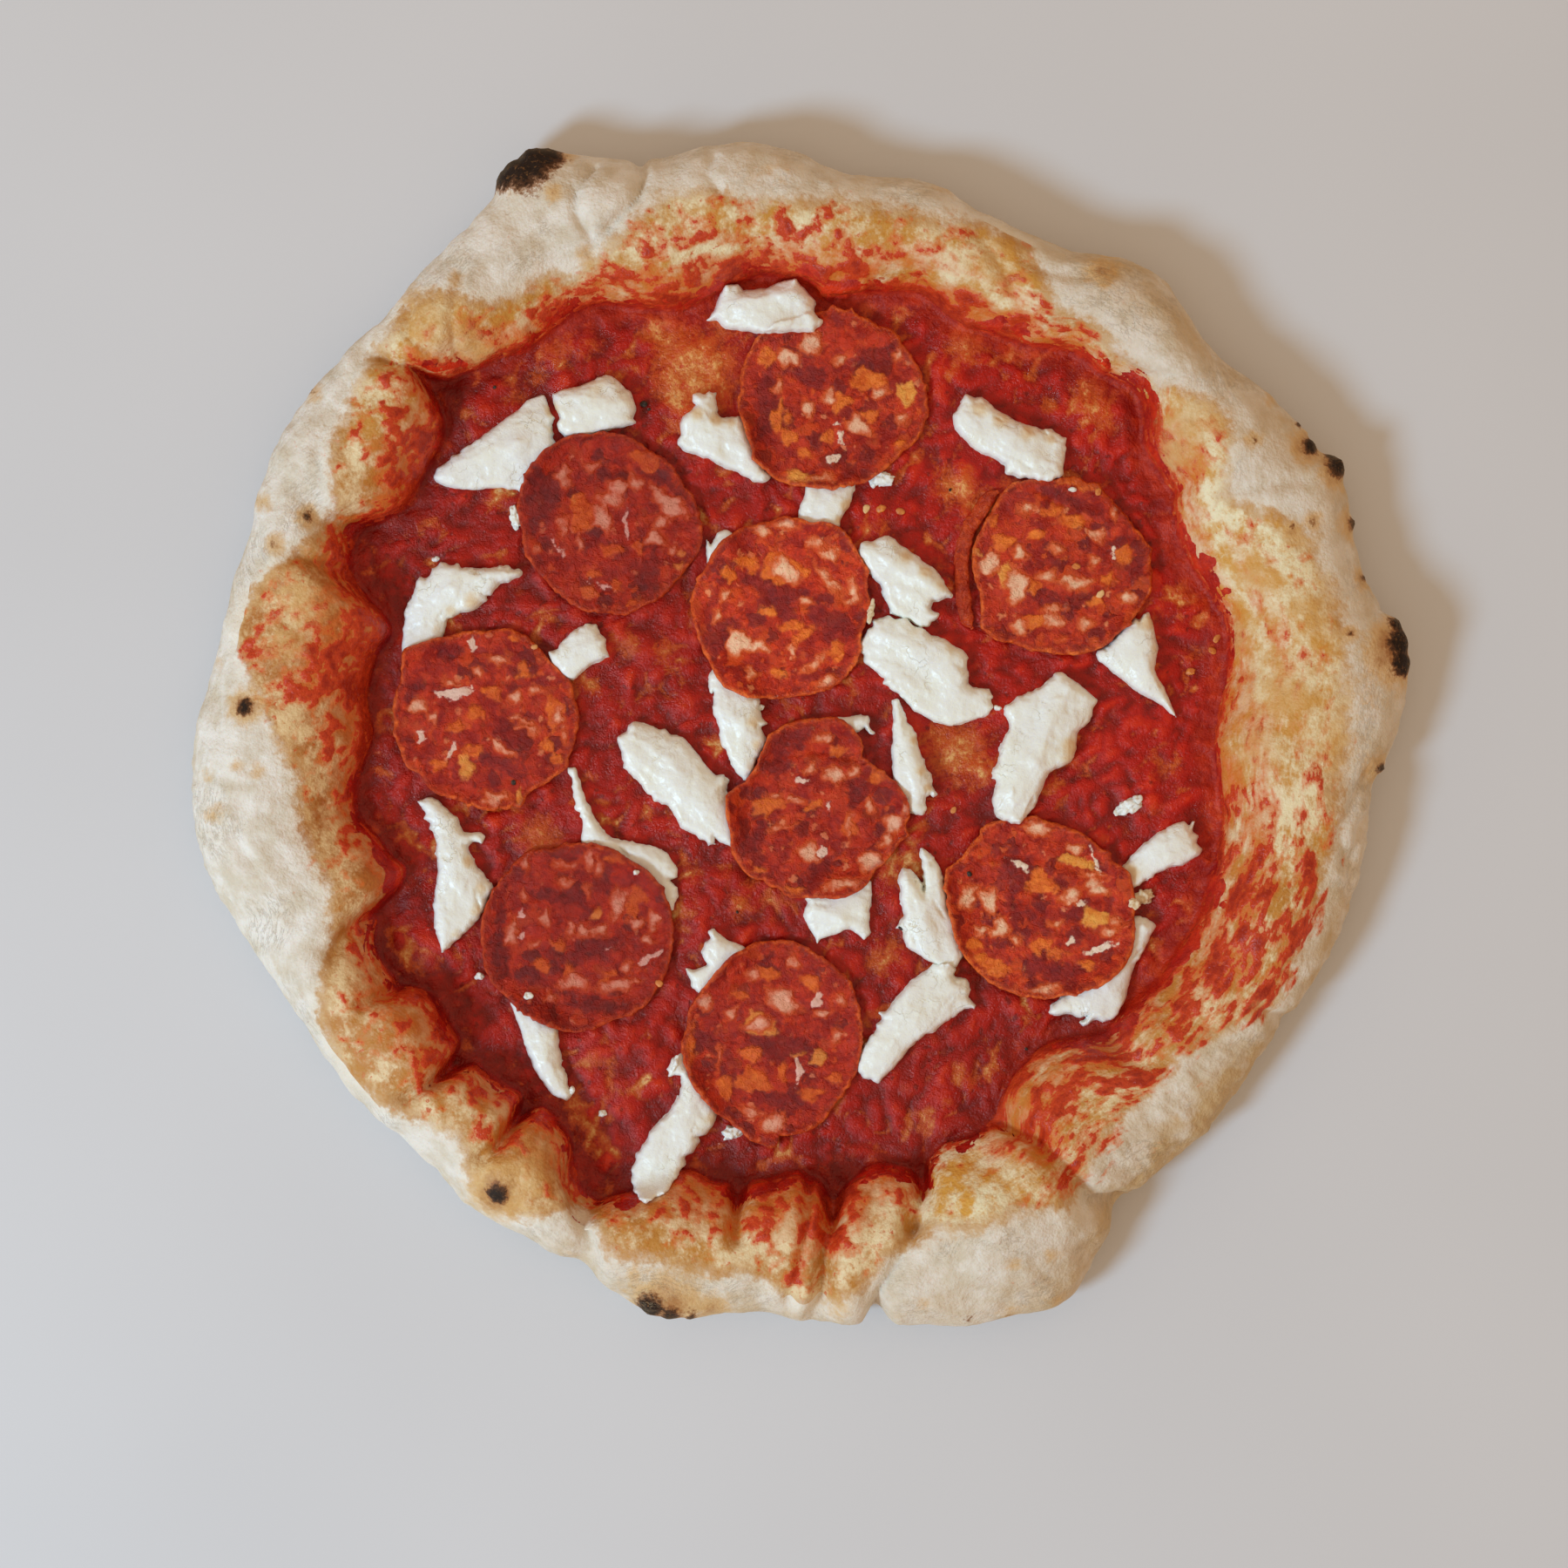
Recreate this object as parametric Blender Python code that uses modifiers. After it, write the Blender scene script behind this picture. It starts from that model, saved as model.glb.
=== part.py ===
"""Pizza with spicy salami slices and torn fresh mozzarella, baked whole and uncut.

One piece of dough (a flat base that rises into an uneven, puffed rim) carries
salami slices and torn mozzarella chunks. Each topping is a solid of its own
that lies on what is under it.

Frame: metres, +Z up, the origin on the surface that the pizza stands on, under
the middle of its bounding box.  Plan positions are given in plan units, counted
to the right and downwards, with PLAN_ORIGIN near the middle of the pizza.
"""

import math

import bmesh
import bpy
import numpy as np
from mathutils import Vector
from mathutils.bvhtree import BVHTree

MM = 0.001

# ---------------------------------------------------------------- driving sizes
PLAN_UNIT = 0.215 * MM          # one plan unit; the pizza is about 1395 units across
PLAN_ORIGIN = (918.0, 845.0)
BASE_THICKNESS = 3.6 * MM       # baked base under the sauce
RIM_HEIGHT = 21.0 * MM          # usual height of the rim's crest
RIM_BELLY = 7.5 * MM            # height at which the rim is widest
RIM_TUCK = 9.0 * MM             # how far the flat underside stops short of the widest line
CREST_SHARE = 0.52              # where the crest lies between the rim's foot and its outside
SALAMI_THICKNESS = 1.7 * MM
GAP = 0.3 * MM                  # clearance between pieces that touch

# Rim stations, one every 10 degrees from +X, anticlockwise, in plan units:
# the outside of the rim, the foot of its inner slope, and the crest's height
# against RIM_HEIGHT.
RIM_OUTSIDE = (680, 694, 680, 676, 658, 665, 643, 637, 655, 667, 685, 708,
               710, 683, 684, 690, 673, 671, 698, 702, 686, 662, 660, 647,
               650, 672, 676, 674, 690, 709, 681, 651, 650, 640, 652, 665)
RIM_FOOT = (481, 500, 502, 508, 530, 553, 522, 510, 523, 528, 526, 525,
            556, 566, 545, 530, 545, 493, 495, 513, 489, 527, 528, 540,
            535, 560, 525, 500, 513, 495, 488, 460, 487, 509, 492, 498)
CREST_LEVEL = (1.05, 1.02, 0.98, 0.95, 0.92, 0.90, 0.88, 0.90, 0.95, 0.98, 1.00, 1.04,
               0.98, 0.95, 0.96, 1.00, 0.94, 1.02, 1.05, 1.02, 1.00, 0.98, 1.00, 0.96,
               0.95, 0.92, 0.98, 1.02, 1.05, 1.14, 1.06, 0.92, 0.90, 0.92, 0.98, 1.02)

# Bubbles that stand out of the rim: plan x, plan y, radius in plan units, lift in mm.
RIM_BUBBLES = {
    "north_west_pouch": (520, 372, 72, 3.0),
    "north_disc": (695, 228, 44, 2.4),
    "north_ridge": (862, 215, 85, 1.2),
    "north_east_fold": (1255, 325, 80, 1.6),
    "east_patch": (1390, 505, 66, 1.6),
    "east_swell": (1515, 770, 92, 1.8),
    "south_east_lobe": (1440, 1060, 76, 1.8),
    "south_east_fold": (1232, 1222, 66, 1.6),
    "big_bubble": (1150, 1385, 108, 5.5),
    "south_knob": (1026, 1352, 32, 2.0),
    "south_lobe_right": (893, 1372, 58, 2.6),
    "south_lobe_left": (762, 1400, 62, 2.4),
    "south_west_lobe": (590, 1335, 70, 2.0),
    "south_west_knuckle": (556, 1252, 50, 1.8),
    "west_lobe_low": (470, 1178, 58, 2.8),
    "west_lobe_stained": (428, 985, 40, 2.2),
    "west_lobe_high": (392, 742, 78, 2.6),
    "north_west_lobe": (455, 505, 60, 2.6),
}

# Low swellings of the base under the sauce: plan x, plan y, radius, lift in mm.
BASE_SWELLS = (
    (660, 395, 60, 1.4), (560, 470, 70, 0.8), (800, 430, 75, 1.0), (1105, 400, 60, 1.2),
    (1265, 480, 60, 1.4), (1180, 620, 90, 0.7), (1010, 610, 70, 0.7), (740, 740, 80, 0.8),
    (1330, 880, 80, 1.1), (1130, 870, 60, 0.9), (640, 960, 70, 1.0), (830, 1050, 70, 1.1),
    (720, 1220, 70, 1.2), (1000, 1120, 70, 0.8), (1330, 700, 60, 1.0), (560, 620, 80, 0.6),
    (960, 770, 70, 0.5), (500, 1090, 60, 0.8), (1120, 1260, 80, 0.8), (1060, 700, 60, 0.5),
)

# Salami slices: plan x, plan y, radius in plan units, out-of-round share, its heading.
SALAMI = {
    "salami_north": (960, 455, 104, 0.05, 50),
    "salami_north_west": (700, 600, 105, 0.02, 0),
    "salami_east": (1211, 647, 111, 0.07, 90),
    "salami_middle": (898, 697, 103, 0.02, 20),
    "salami_west": (557, 826, 105, 0.02, 100),
    "salami_centre_south": (940, 930, 101, 0.06, 140),
    "salami_south_west": (662, 1077, 109, 0.02, 60),
    "salami_south_east": (1197, 1040, 105, 0.05, 150),
    "salami_south": (889, 1192, 107, 0.08, 95),
}

# Torn mozzarella: the spine's three plan points, half-widths at its start, middle
# and end in plan units, and the thickness in mm. Pieces are in the order in
# which they lie on each other.
MOZZARELLA = {
    "mozzarella_01": (((826, 356), (880, 350), (934, 350)), (22, 27, 30), 6.5),
    "mozzarella_02": (((502, 547), (560, 522), (622, 480)), (9, 34, 36), 4.5),
    "mozzarella_03": (((640, 474), (682, 466), (722, 458)), (26, 28, 27), 6.0),
    "mozzarella_04": (((792, 496), (830, 508), (878, 536)), (24, 28, 18), 5.5),
    "mozzarella_05": (((1112, 472), (1152, 504), (1208, 524)), (20, 27, 28), 5.5),
    "mozzarella_06": (((962, 548), (952, 578), (942, 612)), (28, 25, 20), 4.0),
    "mozzarella_07": (((1000, 634), (1036, 660), (1072, 698)), (20, 30, 24), 5.5),
    "mozzarella_08": (((1012, 728), (1058, 768), (1112, 806)), (28, 40, 24), 5.5),
    "mozzarella_09": (((484, 752), (488, 690), (580, 660)), (24, 26, 10), 5.0),
    "mozzarella_10": (((684, 728), (664, 752), (636, 778)), (16, 24, 20), 4.0),
    "mozzarella_11": (((830, 618), (822, 650), (826, 680)), (14, 20, 16), 3.5),
    "mozzarella_12": (((832, 760), (846, 820), (856, 884)), (20, 30, 16), 4.5),
    "mozzarella_13": (((730, 850), (774, 896), (826, 950)), (26, 34, 22), 5.5),
    "mozzarella_14": (((1034, 812), (1044, 868), (1056, 926)), (12, 22, 14), 5.0),
    "mozzarella_15": (((1222, 796), (1194, 860), (1168, 932)), (30, 34, 20), 6.5),
    "mozzarella_16": (((1318, 716), (1310, 762), (1344, 812)), (18, 34, 7), 4.5),
    "mozzarella_17": (((946, 836), (972, 842), (996, 826)), (12, 16, 8), 3.0),
    "mozzarella_18": (((494, 926), (520, 1000), (510, 1082)), (14, 34, 14), 5.0),
    "mozzarella_19": (((660, 894), (690, 966), (762, 1020)), (10, 24, 26), 4.0),
    "mozzarella_20": (((596, 1156), (616, 1200), (642, 1252)), (20, 22, 12), 4.5),
    "mozzarella_21": (((820, 1082), (818, 1110), (812, 1140)), (14, 26, 18), 3.5),
    "mozzarella_22": (((800, 1224), (780, 1296), (744, 1362)), (24, 30, 22), 5.5),
    "mozzarella_23": (((962, 1012), (962, 1042), (964, 1070)), (34, 36, 24), 3.5),
    "mozzarella_24": (((1052, 996), (1066, 1048), (1078, 1096)), (22, 32, 24), 5.5),
    "mozzarella_25": (((1096, 1134), (1052, 1178), (1004, 1224)), (27, 30, 25), 5.5),
    "mozzarella_26": (((1366, 962), (1326, 984), (1284, 1008)), (22, 20, 18), 5.0),
    "mozzarella_27": (((1314, 1072), (1298, 1120), (1232, 1156)), (14, 34, 16), 4.5),
}

RIM_STEPS = 96                  # facets round the pizza
COLOURS = {
    "dough": (0.80, 0.66, 0.47),
    "salami": (0.46, 0.07, 0.03),
    "mozzarella": (0.87, 0.85, 0.76),
}


# ------------------------------------------------------------------ plan helpers
def plan(x, y):
    """A plan point as metres from PLAN_ORIGIN, +Y away from the reader."""
    return (x - PLAN_ORIGIN[0]) * PLAN_UNIT, (PLAN_ORIGIN[1] - y) * PLAN_UNIT


def station(table, angle):
    """The table's value at an angle in radians, on a smooth closed curve through it."""
    n = len(table)
    t = np.asarray(angle) / (2 * math.pi) * n
    i = np.floor(t).astype(int)
    f = t - i
    v = np.asarray(table, float)
    a, b, c, d = (v[(i + k) % n] for k in (-1, 0, 1, 2))
    return b + 0.5 * f * (c - a + f * (2 * a - 5 * b + 4 * c - d + f * (3 * (b - c) + d - a)))


def extent_centre():
    """The middle of the rim's outline, which the frame's origin is put under."""
    angle = np.linspace(0, 2 * math.pi, RIM_STEPS, endpoint=False)
    r = station(RIM_OUTSIDE, angle) * PLAN_UNIT
    x, y = r * np.cos(angle), r * np.sin(angle)
    return (x.min() + x.max()) / 2, (y.min() + y.max()) / 2


CENTRE = extent_centre()


def place(x, y):
    """A plan point in the frame."""
    px, py = plan(x, y)
    return px - CENTRE[0], py - CENTRE[1]


def domes(x, y, table):
    """The summed lift at x, y of round swellings, each a smooth dome."""
    total = np.zeros_like(x)
    for px, py, radius, lift in table:
        cx, cy = plan(px, py)
        d2 = ((x - cx) ** 2 + (y - cy) ** 2) / (radius * PLAN_UNIT) ** 2
        total += lift * MM * np.clip(1 - d2, 0, None) ** 1.5
    return total


# ------------------------------------------------------------------------- dough
NOMINAL_FOOT, NOMINAL_OUTSIDE = 110 * MM, 146 * MM


def rim_profile():
    """(radius, height) from the middle of the top, over the rim, to the middle of
    the underside, for a nominal round pizza."""
    crest = NOMINAL_FOOT + CREST_SHARE * (NOMINAL_OUTSIDE - NOMINAL_FOOT)
    points = [(NOMINAL_FOOT * k / 9, BASE_THICKNESS) for k in range(10)]
    for k in range(1, 6):
        a = math.radians(90 * k / 5)
        points.append((crest - (crest - NOMINAL_FOOT) * math.cos(a),
                       BASE_THICKNESS + (RIM_HEIGHT - BASE_THICKNESS) * math.sin(a) ** 1.25))
    for k in range(1, 6):
        a = math.radians(90 * k / 5)
        points.append((crest + (NOMINAL_OUTSIDE - crest) * math.sin(a),
                       RIM_BELLY + (RIM_HEIGHT - RIM_BELLY) * math.cos(a)))
    for k in range(1, 4):
        a = math.radians(90 * k / 3)
        points.append((NOMINAL_OUTSIDE - RIM_TUCK * (1 - math.cos(a)),
                       RIM_BELLY * (1 - math.sin(a))))
    points += [(60 * MM, 0.0), (0.0, 0.0)]
    return points


def warp_rim(co):
    """Carries the nominal round pizza's points to the measured outline, rim height,
    bubbles and swellings."""
    radius = np.hypot(co[:, 0], co[:, 1])
    angle = np.mod(np.arctan2(co[:, 1], co[:, 0]), 2 * math.pi)
    foot = station(RIM_FOOT, angle) * PLAN_UNIT
    outside = station(RIM_OUTSIDE, angle) * PLAN_UNIT
    share = np.clip((radius - NOMINAL_FOOT) / (NOMINAL_OUTSIDE - NOMINAL_FOOT), 0, 1)
    r = np.where(radius < NOMINAL_FOOT, radius * foot / NOMINAL_FOOT,
                 foot + share * (outside - foot))
    x, y = r * np.cos(angle), r * np.sin(angle)
    z = co[:, 2].copy()
    rim = (radius > NOMINAL_FOOT * 1.001) & (z > RIM_BELLY)
    level = station(CREST_LEVEL, angle)
    top = radius <= NOMINAL_OUTSIDE * 1.001
    on_slope = top & (radius > NOMINAL_FOOT * 1.001) & (z > BASE_THICKNESS)
    z = np.where(on_slope & rim, RIM_BELLY + (z - RIM_BELLY) * level, z)
    rise = np.clip((z - BASE_THICKNESS) / (RIM_HEIGHT - BASE_THICKNESS), 0, 1)
    z = z + np.where(rim, rise * domes(x, y, RIM_BUBBLES.values()), 0)
    fade = np.clip((NOMINAL_FOOT * 0.99 - radius) / (10 * MM), 0, 1)
    z = z + np.where(co[:, 2] >= BASE_THICKNESS - 1e-6, fade * domes(x, y, BASE_SWELLS), 0)
    return np.column_stack([x - CENTRE[0], y - CENTRE[1], z])


def make_dough(collection):
    profile = bpy.data.meshes.new("dough_profile")
    points = rim_profile()
    profile.from_pydata([(r, 0, z) for r, z in points],
                        [(i, i + 1) for i in range(len(points) - 1)], [])
    turned = bpy.data.objects.new("dough_turned", profile)
    bpy.context.scene.collection.objects.link(turned)
    screw = turned.modifiers.new("turn", "SCREW")
    screw.axis = "Z"
    screw.angle = 2 * math.pi
    screw.steps = screw.render_steps = RIM_STEPS
    screw.use_merge_vertices = True
    screw.merge_threshold = 0.00001
    graph = bpy.context.evaluated_depsgraph_get()
    mesh = bpy.data.meshes.new_from_object(turned.evaluated_get(graph))
    bpy.data.objects.remove(turned)
    co = np.array([v.co for v in mesh.vertices])
    mesh.vertices.foreach_set("co", warp_rim(co).astype(np.float32).ravel())
    bm = bmesh.new()
    bm.from_mesh(mesh)
    bmesh.ops.remove_doubles(bm, verts=bm.verts, dist=0.00001)
    bmesh.ops.triangulate(bm, faces=bm.faces)
    face_outwards(bm)
    bm.to_mesh(mesh)
    bm.free()
    return finish("dough", mesh, "dough", collection)


# ---------------------------------------------------------------------- toppings
class Surface:
    """What has been laid so far, to rest the next piece on."""

    def __init__(self):
        self.trees = []

    def add(self, obj):
        mesh = obj.data
        self.trees.append(BVHTree.FromPolygons(
            [v.co.copy() for v in mesh.vertices], [tuple(p.vertices) for p in mesh.polygons]))

    def height(self, x, y):
        best = BASE_THICKNESS
        for tree in self.trees:
            hit = tree.ray_cast(Vector((x, y, 0.2)), Vector((0, 0, -1)))[0]
            if hit is not None and hit.z > best:
                best = hit.z
        return best


def settle(bm, surface, lifts, stiffness):
    """Lays a piece on the surface. lifts holds each vertex's height above its own
    underside. The underside clears everything under it by GAP and is evened out,
    so that a slice bridges what it lies on as a real one does."""
    verts = list(bm.verts)
    floor = {v: surface.height(v.co.x, v.co.y) + GAP for v in verts}
    for _ in range(stiffness):
        smooth = {}
        for v in verts:
            near = [e.other_vert(v) for e in v.link_edges]
            mean = sum(floor[n] for n in near) / len(near)
            smooth[v] = max(floor[v], 0.5 * (mean + floor[v]))
        floor = smooth
    faces = list(bm.faces)
    for _ in range(40):
        worst = 0.0
        for f in faces:
            a, b, c = f.verts
            for i in range(5):
                for j in range(5 - i):
                    u, w = i / 4, j / 4
                    t = 1 - u - w
                    x = u * a.co.x + w * b.co.x + t * c.co.x
                    y = u * a.co.y + w * b.co.y + t * c.co.y
                    z = (u * (floor[a] + lifts[a]) + w * (floor[b] + lifts[b])
                         + t * (floor[c] + lifts[c]))
                    short = surface.height(x, y) + GAP - z
                    if short > 1e-6:
                        worst = max(worst, short)
                        for v in (a, b, c):
                            floor[v] += short * 0.7
        if worst < 1e-5:
            break
    for v in verts:
        v.co.z = floor[v] + lifts[v]


def face_outwards(bm):
    """Turns the faces outwards. A piece is thin and its surface is uneven, so this
    goes by the sign of its volume."""
    bmesh.ops.recalc_face_normals(bm, faces=bm.faces)
    if bm.calc_volume(signed=True) < 0:
        bmesh.ops.reverse_faces(bm, faces=bm.faces)


def finish(name, mesh, kind, collection):
    material = bpy.data.materials.get(kind)
    if material is None:
        material = bpy.data.materials.new(kind)
        material.use_nodes = True
        shader = material.node_tree.nodes["Principled BSDF"]
        shader.inputs["Base Color"].default_value = (*COLOURS[kind], 1)
        shader.inputs["Metallic"].default_value = 0.0
        shader.inputs["Roughness"].default_value = 0.35 if kind == "salami" else 0.6
    mesh.name = name
    mesh.materials.clear()
    mesh.materials.append(material)
    obj = bpy.data.objects.new(name, mesh)
    collection.objects.link(obj)
    mesh.shade_smooth()
    return obj


def make_slice(name, spec, surface, collection):
    """A salami slice: a thin disc, a little out of round, that drapes over what it
    lies on."""
    x, y, radius, oval, heading = spec
    cx, cy = place(x, y)
    bm = bmesh.new()
    bmesh.ops.create_cone(bm, cap_ends=True, cap_tris=True, segments=24,
                          radius1=1.0, radius2=1.0, depth=2.0)
    spokes = [e for e in bm.edges
              if abs(e.verts[0].co.z - e.verts[1].co.z) < 0.01
              and (e.verts[0].co.xy.length < 0.01 or e.verts[1].co.xy.length < 0.01)]
    bmesh.ops.subdivide_edges(bm, edges=spokes, cuts=1)
    bmesh.ops.triangulate(bm, faces=bm.faces)
    lifts = {}
    for v in bm.verts:
        a = math.atan2(v.co.y, v.co.x)
        r = v.co.xy.length * radius * PLAN_UNIT
        r *= 1 - oval * (0.5 + 0.5 * math.cos(2 * (a - math.radians(heading))))
        lifts[v] = SALAMI_THICKNESS if v.co.z > 0 else 0.0
        v.co.x, v.co.y = cx + r * math.cos(a), cy + r * math.sin(a)
    settle(bm, surface, lifts, 3)
    face_outwards(bm)
    mesh = bpy.data.meshes.new(name)
    bm.to_mesh(mesh)
    bm.free()
    return finish(name, mesh, "salami", collection)


def make_chunk(name, spec, surface, collection):
    """A torn strip of mozzarella: a blunt-ended lozenge swept along its spine."""
    spine, widths, thickness = spec
    p = [Vector(place(*q)) for q in spine]
    bm = bmesh.new()
    bmesh.ops.create_uvsphere(bm, u_segments=10, v_segments=7, radius=1.0)
    bmesh.ops.triangulate(bm, faces=bm.faces)
    lifts = {}
    for v in bm.verts:
        u = max(-1.0, min(1.0, v.co.z))
        along = math.asin(u) / (math.pi / 2)          # even steps from end to end
        s = (along + 1) / 2
        close = (1 - abs(along) ** 3) ** (1 / 3) if abs(along) < 1 else 0.0
        a = math.atan2(v.co.y, v.co.x)
        side = math.copysign(abs(math.cos(a)) ** 0.7, math.cos(a)) if close else 0.0
        up = math.copysign(abs(math.sin(a)) ** 0.7, math.sin(a)) if close else 0.0
        # the spine is a curve through the three points, and widths follow it
        q = (2 * s - 1) * (s - 1) * p[0] + 4 * s * (1 - s) * p[1] + s * (2 * s - 1) * p[2]
        d = (4 * s - 3) * p[0] + (4 - 8 * s) * p[1] + (4 * s - 1) * p[2]
        d.normalize()
        w = ((2 * s - 1) * (s - 1) * widths[0] + 4 * s * (1 - s) * widths[1]
             + s * (2 * s - 1) * widths[2])
        q = q + Vector((-d.y, d.x)) * (side * close * w * PLAN_UNIT)
        lifts[v] = thickness * MM * (0.5 + 0.5 * up * close)
        v.co.x, v.co.y = q
    settle(bm, surface, lifts, 1)
    face_outwards(bm)
    mesh = bpy.data.meshes.new(name)
    bm.to_mesh(mesh)
    bm.free()
    return finish(name, mesh, "mozzarella", collection)


def main():
    for obj in list(bpy.data.objects):
        bpy.data.objects.remove(obj)
    collection = bpy.data.collections.new("salami_pizza")
    bpy.context.scene.collection.children.link(collection)
    surface = Surface()
    surface.add(make_dough(collection))
    for name, spec in MOZZARELLA.items():
        surface.add(make_chunk(name, spec, surface, collection))
    for name, spec in SALAMI.items():
        surface.add(make_slice(name, spec, surface, collection))


main()
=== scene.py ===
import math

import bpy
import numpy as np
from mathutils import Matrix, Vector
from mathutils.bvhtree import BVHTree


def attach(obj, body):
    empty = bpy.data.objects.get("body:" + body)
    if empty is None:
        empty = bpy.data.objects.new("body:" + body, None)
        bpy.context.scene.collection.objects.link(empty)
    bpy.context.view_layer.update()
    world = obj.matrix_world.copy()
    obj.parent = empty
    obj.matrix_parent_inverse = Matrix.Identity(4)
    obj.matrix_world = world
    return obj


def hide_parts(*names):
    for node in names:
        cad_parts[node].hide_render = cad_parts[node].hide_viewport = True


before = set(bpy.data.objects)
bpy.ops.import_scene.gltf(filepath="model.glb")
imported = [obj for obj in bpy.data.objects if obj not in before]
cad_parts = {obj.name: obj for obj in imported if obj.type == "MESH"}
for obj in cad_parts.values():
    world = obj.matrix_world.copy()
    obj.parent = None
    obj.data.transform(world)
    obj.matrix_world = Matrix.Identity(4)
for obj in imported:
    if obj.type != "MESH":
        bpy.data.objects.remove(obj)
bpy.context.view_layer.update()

# A whole baked pizza: a piece of dough with a puffed, spotted rim, a thin layer
# of tomato pulp, nine spicy salami slices and torn fresh mozzarella.
#
# Lengths are in millimetres until a mesh is made. Plan positions are in plan
# units (right and downwards), as in the CAD source.

MM = 0.001
UNIT = 0.215                      # millimetres in a plan unit
ORIGIN = (918.0, 845.0)           # the plan point at the middle of the tables
BASE = 3.6
RIM_HEIGHT = 21.0
RIM_BELLY = 7.5
RIM_TUCK = 9.0
CREST_SHARE = 0.52
SLICE = 1.7

RIM_OUTSIDE = (680, 694, 680, 676, 658, 665, 643, 637, 655, 667, 685, 708,
               710, 683, 684, 690, 673, 671, 698, 702, 686, 662, 660, 647,
               650, 672, 676, 674, 690, 709, 681, 651, 650, 640, 652, 665)
RIM_FOOT = (481, 500, 502, 508, 530, 553, 522, 510, 523, 528, 526, 525,
            556, 566, 545, 530, 545, 493, 495, 513, 489, 527, 528, 540,
            535, 560, 525, 500, 513, 495, 488, 460, 487, 509, 492, 498)
CREST_LEVEL = (1.05, 1.02, 0.98, 0.95, 0.92, 0.90, 0.88, 0.90, 0.95, 0.98, 1.00, 1.04,
               0.98, 0.95, 0.96, 1.00, 0.94, 1.02, 1.05, 1.02, 1.00, 0.98, 1.00, 0.96,
               0.95, 0.92, 0.98, 1.02, 1.05, 1.14, 1.06, 0.92, 0.90, 0.92, 0.98, 1.02)
RIM_BUBBLES = (
    (520, 372, 72, 3.0), (695, 228, 44, 2.4), (862, 215, 85, 1.2), (1255, 325, 80, 1.6),
    (1390, 505, 66, 1.6), (1515, 770, 92, 1.8), (1440, 1060, 76, 1.8), (1232, 1222, 66, 1.6),
    (1150, 1385, 108, 5.5), (1026, 1352, 32, 2.0), (893, 1372, 58, 2.6), (762, 1400, 62, 2.4),
    (590, 1335, 70, 2.0), (556, 1252, 50, 1.8), (470, 1178, 58, 2.8), (428, 985, 40, 2.2),
    (392, 742, 78, 2.6), (455, 505, 60, 2.6),
)
BASE_SWELLS = (
    (660, 395, 60, 1.4), (560, 470, 70, 0.8), (800, 430, 75, 1.0), (1105, 400, 60, 1.2),
    (1265, 480, 60, 1.4), (1180, 620, 90, 0.7), (1010, 610, 70, 0.7), (740, 740, 80, 0.8),
    (1330, 880, 80, 1.1), (1130, 870, 60, 0.9), (640, 960, 70, 1.0), (830, 1050, 70, 1.1),
    (720, 1220, 70, 1.2), (1000, 1120, 70, 0.8), (1330, 700, 60, 1.0), (560, 620, 80, 0.6),
    (960, 770, 70, 0.5), (500, 1090, 60, 0.8), (1120, 1260, 80, 0.8), (1060, 700, 60, 0.5),
)
# How far out the sauce has stained the rim, one station every 10 degrees.
STAIN_LIMIT = (625, 632, 600, 560, 590, 575, 585, 615, 620, 612, 620, 600,
               590, 640, 635, 615, 605, 655, 595, 570, 568, 610, 625, 613,
               633, 640, 615, 645, 600, 590, 605, 565, 575, 620, 618, 615)


# ------------------------------------------------------------------ small tools
def plan(x, y):
    """Millimetres right of and above ORIGIN, of a plan point."""
    return (np.asarray(x, float) - ORIGIN[0]) * UNIT, (ORIGIN[1] - np.asarray(y, float)) * UNIT


def station(table, angle):
    """A value of a table with one station at equal steps round the circle, on a smooth closed curve."""
    v = np.asarray(table, float)
    n = len(v)
    t = np.mod(np.asarray(angle, float), 2 * np.pi) / (2 * np.pi) * n
    i = np.floor(t).astype(int)
    f = t - i
    a, b, c, d = (v[(i + k) % n] for k in (-1, 0, 1, 2))
    return b + 0.5 * f * (c - a + f * (2 * a - 5 * b + 4 * c - d + f * (3 * (b - c) + d - a)))


def step(x, low, high):
    t = np.clip((x - low) / (high - low), 0, 1)
    return t * t * (3 - 2 * t)


def domes(x, y, table):
    """Sum of the round swellings of a table at x, y."""
    total = np.zeros(np.shape(x))
    for px, py, radius, lift in table:
        cx, cy = plan(px, py)
        d2 = ((x - cx) ** 2 + (y - cy) ** 2) / (radius * UNIT) ** 2
        total += lift * np.clip(1 - d2, 0, None) ** 1.5
    return total


def spots(x, y, table):
    """Soft spots of a table (plan x, plan y, radius, strength), the strongest one at x, y."""
    total = np.zeros(np.shape(x))
    for px, py, radius, strength in table:
        cx, cy = plan(px, py)
        d2 = ((x - cx) ** 2 + (y - cy) ** 2) / (radius * UNIT) ** 2
        total = np.maximum(total, strength * np.exp(-d2))
    return total


_TABLE = np.random.default_rng(11)
_ORDER = _TABLE.permutation(256)
_ORDER = np.concatenate([_ORDER, _ORDER])
_SLOPES = _TABLE.normal(size=(256, 3))
_SLOPES = (_SLOPES / np.linalg.norm(_SLOPES, axis=1)[:, None] * 1.5).astype(np.float32)


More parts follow.
